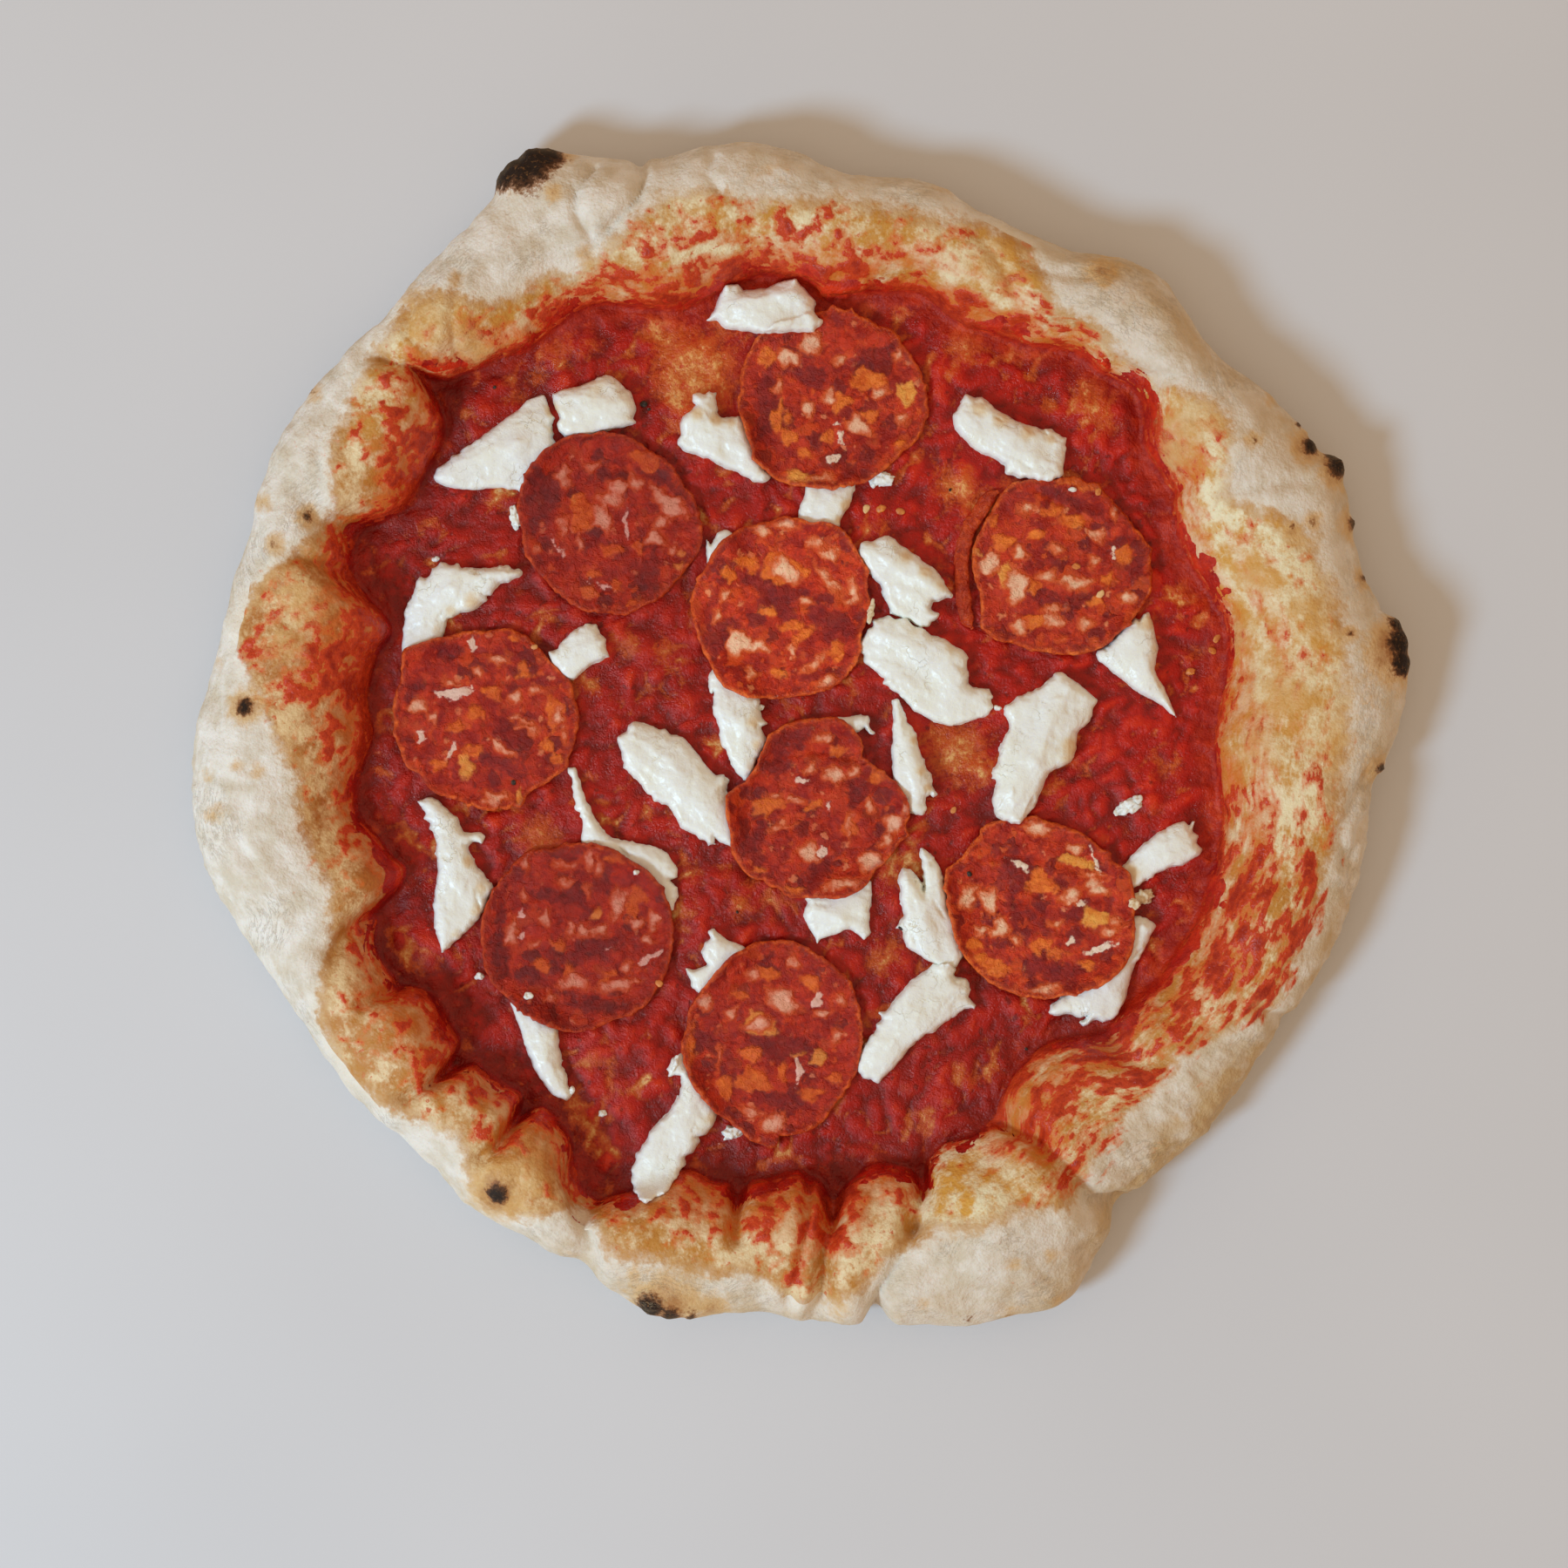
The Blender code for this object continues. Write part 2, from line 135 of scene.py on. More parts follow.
def noise(x, y, z):
    """Smooth noise between about -1 and 1, with features one unit across."""
    x, y, z = np.broadcast_arrays(x, y, z)
    cell = [np.floor(v).astype(np.int64) for v in (x, y, z)]
    part = [(v - c).astype(np.float32) for v, c in zip((x, y, z), cell)]
    ease = [p * p * p * (p * (p * 6 - 15) + 10) for p in part]
    cell = [c & 255 for c in cell]
    total = np.zeros(x.shape, np.float32)
    for i in (0, 1):
        a = _ORDER[(cell[0] + i) & 255]
        wa = ease[0] if i else 1 - ease[0]
        for j in (0, 1):
            b = _ORDER[a + ((cell[1] + j) & 255)]
            wb = wa * (ease[1] if j else 1 - ease[1])
            for k in (0, 1):
                g = _SLOPES[_ORDER[b + ((cell[2] + k) & 255)]]
                w = wb * (ease[2] if k else 1 - ease[2])
                total += w * (
                    g[..., 0] * (part[0] - i) + g[..., 1] * (part[1] - j) + g[..., 2] * (part[2] - k)
                )
    return total


def fbm(x, y, z, size, octaves=3, seed=0, gain=0.5):
    """Noise in several octaves, the widest with features of that size."""
    total, strength = 0.0, 1.0
    for n in range(octaves):
        f = 2.03 ** n / size
        o = 17.3 * seed + 5.7 * n
        total = total + strength * noise(x * f + o, y * f + o * 0.7 + 3.1, z * f - o)
        strength *= gain
    return total


def near_line(x, y, points):
    """Distance from x, y to a polyline, and how far along it the nearest place is."""
    best = np.full(np.shape(x), 1e9)
    along = np.zeros(np.shape(x))
    run = 0.0
    for (ax, ay), (bx, by) in zip(points[:-1], points[1:]):
        dx, dy = bx - ax, by - ay
        length = math.hypot(dx, dy) or 1e-9
        t = np.clip(((x - ax) * dx + (y - ay) * dy) / length ** 2, 0, 1)
        d = np.hypot(x - ax - t * dx, y - ay - t * dy)
        closer = d < best
        best = np.where(closer, d, best)
        along = np.where(closer, run + t * length, along)
        run += length
    return best, along


def plan_line(points):
    return [tuple(float(v) for v in plan(x, y)) for x, y in points]


def inside(x, y, outline):
    """True where x, y lies inside the closed outline."""
    hit = np.zeros(np.shape(x), bool)
    for (ax, ay), (bx, by) in zip(outline, outline[1:] + outline[:1]):
        crosses = (ay > y) != (by > y)
        with np.errstate(divide="ignore", invalid="ignore"):
            at = (bx - ax) * (y - ay) / ((by - ay) or 1e-12) + ax
        hit ^= crosses & (x < at)
    return hit


def outline_distance(x, y, outline):
    """Distance from x, y to a closed outline, positive inside."""
    d, along = near_line(x, y, outline + outline[:1])
    return np.where(inside(x, y, outline), d, -d), along


def blur(grid, radius):
    """A grid smoothed by a few box passes of that radius in cells."""
    for axis in (0, 1):
        for _ in range(2):
            padded = np.concatenate(
                [np.repeat(grid.take([0], axis), radius + 1, axis), grid,
                 np.repeat(grid.take([-1], axis), radius, axis)], axis)
            sums = np.cumsum(padded, axis)
            n = grid.shape[axis]
            grid = (sums.take(range(2 * radius + 1, 2 * radius + 1 + n), axis)
                    - sums.take(range(0, n), axis)) / (2 * radius + 1)
    return grid


# The frame's origin lies under the middle of the outline's box.
_turn = np.linspace(0, 2 * np.pi, 96, endpoint=False)
_reach = station(RIM_OUTSIDE, _turn) * UNIT
_ex, _ey = _reach * np.cos(_turn), _reach * np.sin(_turn)
CENTRE = ((_ex.min() + _ex.max()) / 2, (_ey.min() + _ey.max()) / 2)


def make(name, points, faces, attributes=None, smooth=True):
    """An object from points in mm and a list of face arrays, each (count, corners), with point attributes."""
    mesh = bpy.data.meshes.new(name)
    corners = np.concatenate([f.reshape(-1) for f in faces]).astype(np.int32)
    sizes = np.concatenate([np.full(len(f), f.shape[1]) for f in faces])
    starts = np.concatenate([[0], np.cumsum(sizes)[:-1]]).astype(np.int32)
    placed = (points - np.array([CENTRE[0], CENTRE[1], 0.0])) * MM
    mesh.vertices.add(len(points))
    mesh.vertices.foreach_set("co", placed.astype(np.float32).reshape(-1))
    mesh.loops.add(len(corners))
    mesh.loops.foreach_set("vertex_index", corners)
    mesh.polygons.add(len(sizes))
    mesh.polygons.foreach_set("loop_start", starts)
    mesh.update(calc_edges=True)
    mesh.validate()
    mesh.polygons.foreach_set("use_smooth", np.full(len(mesh.polygons), smooth))
    for key, values in (attributes or {}).items():
        values = np.asarray(values, np.float32)
        layer = mesh.attributes.new(key, "FLOAT" if values.ndim == 1 else "FLOAT_VECTOR", "POINT")
        layer.data.foreach_set("value" if values.ndim == 1 else "vector", values.reshape(-1))
    thing = bpy.data.objects.new(name, mesh)
    bpy.context.scene.collection.objects.link(thing)
    return thing


def rings(count, around, first=0, flip=False):
    """Quads between `count` rings of `around` points each, numbered from first."""
    i = np.arange(count - 1)[:, None] * around + first
    j = np.arange(around)[None, :]
    k = (j + 1) % around
    quads = np.stack([i + j, i + around + j, i + around + k, i + k], -1).reshape(-1, 4)
    return quads[:, ::-1] if flip else quads


# ------------------------------------------------------------------- the dough
AROUND = 1120

# The same rim with a station every 5 degrees: its outside, its foot, and how
# far out the tan, stained zone reaches, all in plan units from ORIGIN.
OUTSIDE = (686, 702, 702, 677, 680, 691, 681, 672, 655, 652, 668, 665, 643, 635, 638, 653, 654, 652,
           670, 686, 686, 686, 710, 728, 714, 697, 686, 680, 683, 690, 688, 683, 674, 673, 674, 683,
           697, 702, 705, 697, 680, 668, 661, 661, 657, 648, 648, 658, 657, 654, 666, 684, 674, 664,
           668, 679, 686, 704, 708, 716, 686, 652, 651, 652, 649, 644, 646, 657, 659, 667, 666, 664)
FOOT = (479, 487, 501, 508, 500, 494, 500, 516, 522, 556, 548, 546, 524, 519, 514, 530, 521, 514,
        528, 535, 524, 513, 526, 552, 552, 549, 564, 586, 538, 530, 528, 556, 548, 490, 499, 502,
        494, 511, 518, 497, 491, 543, 549, 519, 523, 531, 528, 521, 534, 578, 560, 520, 525, 515,
        502, 523, 502, 515, 500, 498, 474, 457, 460, 485, 492, 497, 502, 504, 502, 500, 497, 485)
STAINED = (625, 625, 628, 630, 622, 595, 562, 603, 600, 572, 571, 575, 572, 617, 620, 612, 612, 617,
           610, 610, 630, 630, 605, 587, 600, 602, 656, 659, 644, 635, 617, 587, 610, 646, 654, 625,
           598, 575, 577, 569, 569, 592, 630, 643, 635, 618, 602, 640, 635, 592, 625, 620, 620, 615,
           650, 643, 600, 585, 592, 596, 612, 582, 571, 571, 566, 589, 620, 620, 617, 617, 620, 618)
# How red the stained zone is, and how brown its tan, every 10 degrees. The brown is partly toasting and partly painted
# shade, strongest on the west inner wall, which faces away from the lamp.
REDNESS = (.42, .32, .28, .38, .50, .52, .60, .60, .60, .60, .72, .68, .70, .34, .60, .58, .64, .78,
           .64, .52, .46, .36, .52, .44, .38, .50, .50, .74, .52, .02, .74, .90, .80, .86, .88, .62)
BROWN_AND_SHADE = (.30, .25, .10, .10, .20, .15, .20, .30, .30, .25, .30, .40, .40, .30, .35, .60, .88, .82,
         .85, .85, .80, .66, .60, .58, .72, .52, .50, .62, .48, .00, .40, .45, .50, .52, .48, .35)
# How tan its pale outside is, and how far the splashes are drawn out along it. The tan is partly the dough's own and
# partly painted shade on the east and south-east, which face away from the lamp.
TAN_AND_SHADE = (.34, .34, .36, .42, .48, .50, .45, .40, .35, .26, .18, .10, .05, .00, .00, .00, .00, .00,
          .00, .00, .00, .05, .05, .10, .15, .40, .48, .42, .30, .34, .58, .74, .78, .70, .55, .42)
DRAWN_OUT = (.80, .50, .40, .40, .50, .60, .60, .40, .25, .10, .10, .30, .40, .10, .00, .00, .10, .10,
             .10, .10, .20, .20, .10, .10, .20, .20, .10, .10, .10, .10, .70, 1.0, 1.0, 1.0, 1.0, 1.0)

# Small bulges of the outline: heading in degrees, plan units, half-width in degrees.
EDGE_BUMPS = ((114.4, 15, 2.7), (117.7, 11, 1.3), (26.7, 11, 1.2), (8.0, 3, 3.0), (257.0, 6, 2.4), (277.5, -17, 1.3),
              (21.0, 4, 0.8), (12.2, -6, 0.6), (296.6, 5, 1.2), (31.0, 3, 0.5), (357.0, 5, 1.0),
              (51.5, 3, 1.5), (243.5, 3, 1.5))
# Places where the sauce reaches in between two lobes, the same way.
FOOT_BUMPS = ((136.0, 14, 1.3), (223.6, 20, 1.0), (233.6, 18, 1.0), (274.2, 14, 0.9), (285.6, 14, 0.9),
              (202.4, 10, 0.9), (198.4, -6, 1.4), (155.0, 4, 1.5), (262.3, 12, 0.9), (87.0, -4, 1.0),
              (61.5, 3, 1.0), (33.0, 6, 1.0), (246.5, 6, 1.2), (212.0, 4, 0.8))

# Folds between the lobes: (degrees, plan units from ORIGIN), width and depth in mm.
FOLDS = (
    (((136.3, 560), (136.6, 605), (138.2, 652)), 2.0, 3.6),
    (((155.0, 545), (156.0, 590), (154.0, 628)), 4.6, 2.8),
    (((202.5, 500), (203.0, 545), (205.0, 590)), 2.6, 3.0),
    (((212.3, 545), (211.5, 585)), 1.8, 1.8),
    (((223.6, 535), (223.4, 570), (222.5, 614)), 1.9, 3.4),
    (((233.6, 538), (233.8, 575), (233.0, 604)), 1.9, 3.0),
    (((242.0, 560), (246.0, 602), (248.0, 645)), 3.2, 3.8),
    (((262.0, 512), (262.5, 545), (263.0, 578)), 2.0, 2.6),
    (((271.2, 505), (270.8, 560), (269.8, 612), (269.0, 645)), 1.5, 2.2),
    (((274.3, 508), (273.6, 540), (272.6, 590), (272.2, 655)), 2.3, 4.6),
    (((277.6, 672), (278.5, 642), (281.5, 600), (283.5, 570)), 2.0, 2.8),
    (((285.6, 498), (285.2, 530), (282.8, 572)), 2.0, 3.2),
    (((297.0, 486), (300.3, 528), (301.2, 580), (302.0, 630), (304.5, 655)), 2.5, 4.2),
    (((105.6, 694), (105.6, 665), (106.8, 640), (109.5, 620), (113.5, 600)), 1.3, 1.8),
    (((110.0, 694), (112.4, 676), (113.2, 648), (112.8, 618)), 1.2, 1.5),
    (((98.5, 668), (99.5, 650), (98.5, 630)), 1.3, 1.0),
    (((126.0, 654), (128.5, 632), (130.5, 610), (132.0, 585)), 1.1, 1.0),
    (((132.5, 658), (134.5, 640), (134.0, 612)), 1.0, 0.9),
    (((160.3, 604), (160.6, 560), (161.6, 515)), 2.2, 2.4),
    (((27.0, 645), (28.2, 605), (29.4, 570)), 1.6, 1.1),
    (((315.5, 495), (316.0, 530), (318.0, 556)), 3.0, 1.8),
    (((330.0, 648), (329.2, 618)), 1.6, 1.4),
    (((347.0, 640), (350.0, 628), (353.5, 640), (356.5, 652)), 1.3, 1.0),
    (((344.0, 655), (347.5, 648), (351.5, 652)), 1.1, 0.8),
    (((58.0, 618), (61.0, 604), (64.5, 600)), 1.6, 1.1),
    (((64.0, 560), (66.5, 585), (70.0, 605)), 1.8, 1.2),
    (((138.5, 664), (143.0, 652), (149.0, 640), (153.0, 615)), 1.2, 0.9),
    (((187.0, 640), (190.5, 652), (194.0, 640)), 1.2, 0.7),
    (((44.0, 590), (46.0, 568), (50.0, 560)), 1.6, 1.2),
)
# Thin raised lips over the sauce, the same way, with their height.
LIPS = (
    (((50.5, 556), (54.0, 560), (57.0, 548), (60.0, 531), (64.0, 523), (68.0, 517)), 1.3, 1.1),
    (((124.5, 560), (128.0, 572), (131.0, 573), (134.0, 588), (136.0, 606)), 1.3, 1.4),
    (((82.0, 526), (86.0, 516), (88.5, 512)), 1.2, 1.0),
    (((351.0, 500), (355.0, 492), (359.5, 485)), 1.0, 0.6),
)
# Streaks of the stained zone that stayed clean: the same way, with their width.
CLEAN = (
    (((297.0, 512), (300.0, 492), (304.0, 480), (308.5, 474), (311.5, 486)), 2.3),
    (((324.0, 512), (330.0, 518), (336.0, 519), (342.0, 522), (347.0, 530)), 2.2),
    (((347.0, 512), (352.0, 520), (356.0, 512), (359.5, 500)), 2.6),
    (((337.0, 572), (341.0, 580), (345.0, 576)), 2.2),
    (((347.0, 560), (352.0, 566), (357.0, 556), (360.0, 548)), 3.0),
    (((305.0, 548), (308.5, 552), (312.0, 545)), 1.5),
    (((324.0, 556), (327.5, 560)), 1.8),
    (((64.5, 545), (68.0, 552), (72.0, 548), (76.0, 545), (80.0, 535)), 2.6),
    (((96.0, 560), (101.0, 566), (106.0, 560)), 2.2),
    (((5.0, 530), (12.0, 535), (19.0, 530), (27.0, 528)), 2.6),
)
# Dents: plan x, y, radius in plan units, depth in mm.
DENTS = ((880, 330, 24, -2.4), (480, 461, 26, -1.0), (1420, 610, 40, -0.8), (1480, 940, 50, -0.8),
         (620, 262, 40, -0.8), (1010, 268, 50, -0.7))

GOLDEN = (
    (600, 190, 48, 0.5), (650, 172, 22, 0.6), (638, 225, 16, 0.7), (527, 326, 14, 0.6),
    (675, 298, 20, 0.55), (1090, 206, 26, 0.6), (1140, 232, 20, 0.55), (1263, 317, 24, 0.8),
    (1270, 290, 18, 0.6), (1425, 415, 16, 0.6), (1460, 455, 16, 0.6), (1435, 508, 15, 0.7),
    (1503, 513, 30, 0.9), (1534, 537, 30, 0.95), (1556, 600, 24, 0.85), (1503, 600, 15, 0.75),
    (1479, 612, 16, 0.7), (1566, 663, 18, 0.8), (1544, 729, 14, 0.75), (1600, 750, 46, 1.0),
    (1585, 882, 26, 0.75), (1366, 488, 46, 0.62), (1350, 520, 30, 0.6), (1500, 700, 62, 0.5),
    (1470, 790, 62, 0.56), (1520, 850, 56, 0.5), (1440, 660, 46, 0.5), (1560, 800, 46, 0.4),
    (1420, 730, 40, 0.5), (1440, 860, 46, 0.5), (1500, 620, 34, 0.45), (358, 595, 22, 0.75),
    (358, 450, 18, 0.6), (303, 578, 16, 0.65), (320, 627, 18, 0.7), (287, 812, 28, 0.8),
    (250, 935, 18, 0.55), (300, 885, 16, 0.55), (240, 890, 14, 0.5), (276, 880, 12, 0.5),
    (340, 455, 14, 0.5), (574, 1364, 40, 0.95), (610, 1345, 44, 0.6), (765, 1498, 52, 0.9),
    (818, 1502, 26, 0.8), (730, 1458, 15, 0.6), (1059, 1494, 16, 0.5), (1160, 1510, 24, 0.6),
    (1161, 1445, 13, 0.6), (1205, 1438, 14, 0.55), (1215, 1495, 18, 0.6), (1345, 1285, 12, 0.4),
    (1440, 1150, 14, 0.4), (1100, 1340, 30, 0.2), (1150, 1330, 30, 0.25), (1200, 1370, 34, 0.2),
    (1110, 1390, 20, 0.2), (350, 690, 50, 0.5), (330, 740, 40, 0.5), (500, 372, 46, 0.55),
    (540, 395, 34, 0.55), (470, 340, 26, 0.5), (862, 215, 50, 0.3), (980, 200, 46, 0.25),
    (695, 240, 26, 0.25), (960, 1500, 26, 0.5), (880, 1480, 20, 0.35), (1130, 300, 40, 0.5),
    (1150, 330, 34, 0.5), (890, 205, 30, 0.35), (250, 760, 16, 0.4), (600, 1440, 20, 0.3),
    (640, 1450, 34, 0.4), (1000, 1515, 18, 0.4), (1330, 1290, 20, 0.3),
)
BURNT = (
    (600, 186, 36, 1.25), (578, 198, 24, 1.15), (624, 178, 24, 1.15), (650, 166, 9, 0.7),
    (287, 812, 11, 0.95), (358, 595, 9, 0.55), (303, 578, 6, 0.36), (320, 627, 7, 0.40),
    (358, 450, 6, 0.55), (574, 1364, 14, 1.0), (746, 1498, 17, 1.15), (770, 1508, 14, 0.85), (794, 1508, 9, 0.7),
    (1503, 513, 11, 1.05), (1536, 535, 15, 1.15), (1528, 522, 9, 1.0), (1556, 600, 9, 0.85),
    (1604, 738, 17, 1.2), (1606, 762, 16, 1.15), (1600, 716, 10, 1.0), (1585, 882, 7, 0.9),
    (1435, 508, 5, 0.5), (1503, 600, 6, 0.65), (1566, 663, 5, 0.7), (1544, 729, 6, 0.6),
    (1263, 317, 5, 0.3), (638, 225, 5, 0.4), (1090, 202, 6, 0.45), (1160, 1514, 9, 0.5),
    (1479, 606, 5, 0.5), (1558, 560, 5, 0.8), (1562, 620, 4, 0.7), (1490, 488, 5, 0.7),
    (1110, 1512, 6, 0.5), (1190, 1506, 6, 0.4),
)


def polar_line(points):
    return [(r * UNIT * math.cos(math.radians(a)), r * UNIT * math.sin(math.radians(a))) for a, r in points]


def bumps(degrees, table):
    total = 0 * degrees
    for heading, amount, half in table:
        off = (degrees - heading + 180) % 360 - 180
        total = total + amount * UNIT * np.exp(-((off / half) ** 2))
    return total


def foot_reach(angle):
    return station(FOOT, angle) * UNIT + bumps(np.degrees(angle), FOOT_BUMPS)


def build_dough():
    angle = np.linspace(0, 2 * np.pi, AROUND, endpoint=False)[None, :]
    foot = foot_reach(angle)
    out = station(OUTSIDE, angle) * UNIT + bumps(np.degrees(angle), EDGE_BUMPS)
    level = station(CREST_LEVEL, angle)
    cx, cy = 130 * np.cos(angle), 130 * np.sin(angle)
    out = out + 0.35 * fbm(cx, cy, 0 * cx, 12, 2, 1) + 0.2 * fbm(cx, cy, 0 * cx, 4, 2, 2)
    smooth_foot = station(RIM_FOOT, angle) * UNIT
    crest = 0.35 * foot + 0.65 * smooth_foot
    crest = crest + CREST_SHARE * (out - crest)

    # Rows from the middle outwards, over the crest and round under the belly.
    a = np.linspace(0, np.pi / 2, 37)[:, None]
    inner_r = crest - (crest - foot) * np.cos(a)
    inner_z = BASE + (RIM_HEIGHT - BASE) * np.sin(a) ** 1.15 + 0 * out
    b = np.linspace(0, np.pi / 2, 32)[1:, None]
    outer_r = crest + (out - crest) * np.sin(b)
    outer_z = RIM_BELLY + (RIM_HEIGHT - RIM_BELLY) * np.cos(b) + 0 * out
    c = np.linspace(0, np.pi / 2, 10)[1:, None]
    tuck_r = out - RIM_TUCK * (1 - np.cos(c))
    tuck_z = RIM_BELLY * (1 - np.sin(c)) + 0 * out
    r = np.concatenate([inner_r, outer_r, tuck_r])
    z = np.concatenate([inner_z, outer_z, tuck_z])
    z = np.where(z > RIM_BELLY, RIM_BELLY + (z - RIM_BELLY) * level, z)
    x, y = r * np.cos(angle), r * np.sin(angle)
    rise = np.clip((z - BASE) / (RIM_HEIGHT - BASE), 0, 1)
    z = z + rise * domes(x, y, RIM_BUBBLES)

    # The outward direction, in the plane through the axis.
    dr, dz = np.gradient(r, axis=0), np.gradient(z, axis=0)
    size = np.hypot(dr, dz) + 1e-9
    nr, nz = -dz / size, dr / size

    # Uneven dough: wide swellings, lumps, and fine wrinkles on the pale outside.
    high = step(z, 1.0, 9.0)
    wide = fbm(x, y, z, 26, 2, 3)
    lumps = fbm(x, y, z, 11, 2, 4)
    small = fbm(x, y, z, 4.4, 2, 5)
    fine = fbm(x, y, z, 1.8, 2, 6)
    ax, ay = 118 * np.cos(angle), 118 * np.sin(angle)
    across = np.cumsum(size, axis=0)
    wrinkle = fbm(ax + 0 * r, ay + 0 * r, across * 3.2, 9, 3, 7)
    radial_wrinkle = fbm(ax * 3.0 + 0 * r, ay * 3.0 + 0 * r, across, 8, 2, 8)
    limit = station(STAINED, angle) * UNIT
    outside = step(r - limit, -1, 5) * step(z, 2, 8)
    push = (0.8 * wide + 0.6 * lumps + 0.20 * small + 0.05 * fine) * high
    creased = step(fbm(x, y, z, 24, 1, 15), -0.3, 0.5)
    crinkled = bumps(np.degrees(angle), ((316, 1.0, 16), (350, 0.6, 12), (186, 0.7, 14), (145, 0.5, 14))) / UNIT
    push += outside * (creased * 0.24 * wrinkle + (0.10 * creased + 0.62 * crinkled) * radial_wrinkle)
    push -= 0.3 * np.clip(lumps, 0, 1) ** 2 * high
    # Puffed blisters, each with a soft edge.
    blister = np.clip(fbm(x, y, z, 8.0, 1, 9) - 0.2, 0, 1)
    push += 0.8 * blister * high
    for points, width, depth in FOLDS:
        d, _ = near_line(x, y, polar_line(points))
        wobble = 1 + 0.3 * lumps
        push -= depth * np.exp(-((d / (width * wobble)) ** 2)) * step(z, 3, 10)
        # The dough swells on both sides of a fold.
        push += 0.20 * depth * np.exp(-(((d - 2.6 * width) / (1.5 * width)) ** 2)) * step(z, 4, 12)
    for points, width, height in LIPS:
        d, _ = near_line(x, y, polar_line(points))
        push += height * np.exp(-((d / width) ** 2)) * step(z, 2.5, 5)
    push += domes(x, y, DENTS) * step(z, 3, 8)
    top = step(z, 6, 11)
    golden = spots(x, y, GOLDEN) * top
    burnt = spots(x, y, BURNT) * top
    # Burnt bubbles are dry, knobbly blisters.
    knobs = fbm(x, y, z, 3.4, 2, 10)
    push += np.clip(burnt - 0.25, 0, 1.0) * (1.1 + 0.9 * knobs)

    # Splashes of pulp on the rim: denser towards the foot, drawn out along it.
    radius = np.hypot(x, y)
    depth_in = np.clip((limit - radius) / (limit - foot), -0.5, 1.3)
    red = station(REDNESS, angle)
    fx, fy = ax + 0 * r, ay + 0 * r
    drawn_out = station(DRAWN_OUT, angle) + 0 * r
    n1 = fbm(x, y, z, 7.0, 3, 16) * (1 - drawn_out) + fbm(fx, fy, across * 2.4, 9.5, 3, 13) * drawn_out
    n2 = fbm(x, y, z, 2.8, 2, 17) * (1 - drawn_out) + fbm(fx, fy, across * 2.4, 4.0, 2, 14) * drawn_out
    # A splash lies thickest in hollows.
    climb = 0.95 * np.clip(depth_in, 0, 1.2) ** 1.4 * (1 - 0.68 * drawn_out) + 0.34 * drawn_out
    splash = 0.85 * n1 + 0.75 * n2 - 0.16 * lumps + climb + 1.0 * (red - 0.6) - 0.64
    splash = np.where(depth_in < 0.10, splash - 3.0 * (0.10 - depth_in), splash)
    at_foot = step(depth_in, 0.84 + 0.08 * drawn_out, 0.95 + 0.06 * drawn_out)
    splash = np.maximum(splash, at_foot * (0.9 + 0.4 * step(red, 0.35, 0.6)) - 0.75 + 0.4 * n2)
    clean = np.zeros_like(x)
    for points, width in CLEAN:
        d, _ = near_line(x, y, polar_line(points))
        clean = np.maximum(clean, np.exp(-((d / (0.72 * width * (1 + 0.5 * n2))) ** 2)))
    splash = splash - 0.60 * clean
    row = np.arange(len(r))[:, None]
    splash = np.where(row > 52, -1.5, splash)
    push += 0.30 * step(splash, -0.02, 0.22)
    r = r + nr * push
    z = np.clip(z + nz * push, 0.02, 28.6)
    x, y = r * np.cos(angle), r * np.sin(angle)

    # Underside: a flat, slightly lifted base with its own shallow hollows.
    under = []
    last_r = r[-1:]
    for share in (0.975, 0.93, 0.86, 0.74, 0.55, 0.3):
        ur = last_r * share
        ux, uy = ur * np.cos(angle), ur * np.sin(angle)
        uz = np.clip(0.35 * fbm(ux, uy, 0 * ux, 22, 3, 12) * (1 if share > 0.31 else 0), 0, 0.5)
        under.append((ux, uy, uz + 0.0 * ux))
    z[-1] = 0.0
    # Inside, hidden under the sauce, the top sinks a little.
    mid = []
    for share, height in ((0.45, 2.9), (0.72, 2.9), (0.88, 2.9), (0.955, 3.0)):
        mr = r[0:1] * share
        mid.append((mr * np.cos(angle), mr * np.sin(angle), np.full_like(mr, height)))
    xs = np.concatenate([m[0] for m in mid] + [x] + [u[0] for u in under])
    ys = np.concatenate([m[1] for m in mid] + [y] + [u[1] for u in under])
    zs = np.concatenate([m[2] for m in mid] + [z] + [u[2] for u in under])
    rows = len(xs)
    points = np.stack([xs, ys, zs], -1).reshape(-1, 3)

    def padded(values, before, after):
        """One value per row of the visible part, carried on to the hidden rows."""
        values = values + 0 * x
        return np.concatenate([np.full((len(mid), AROUND), before), values, np.full((len(under), AROUND), after)])

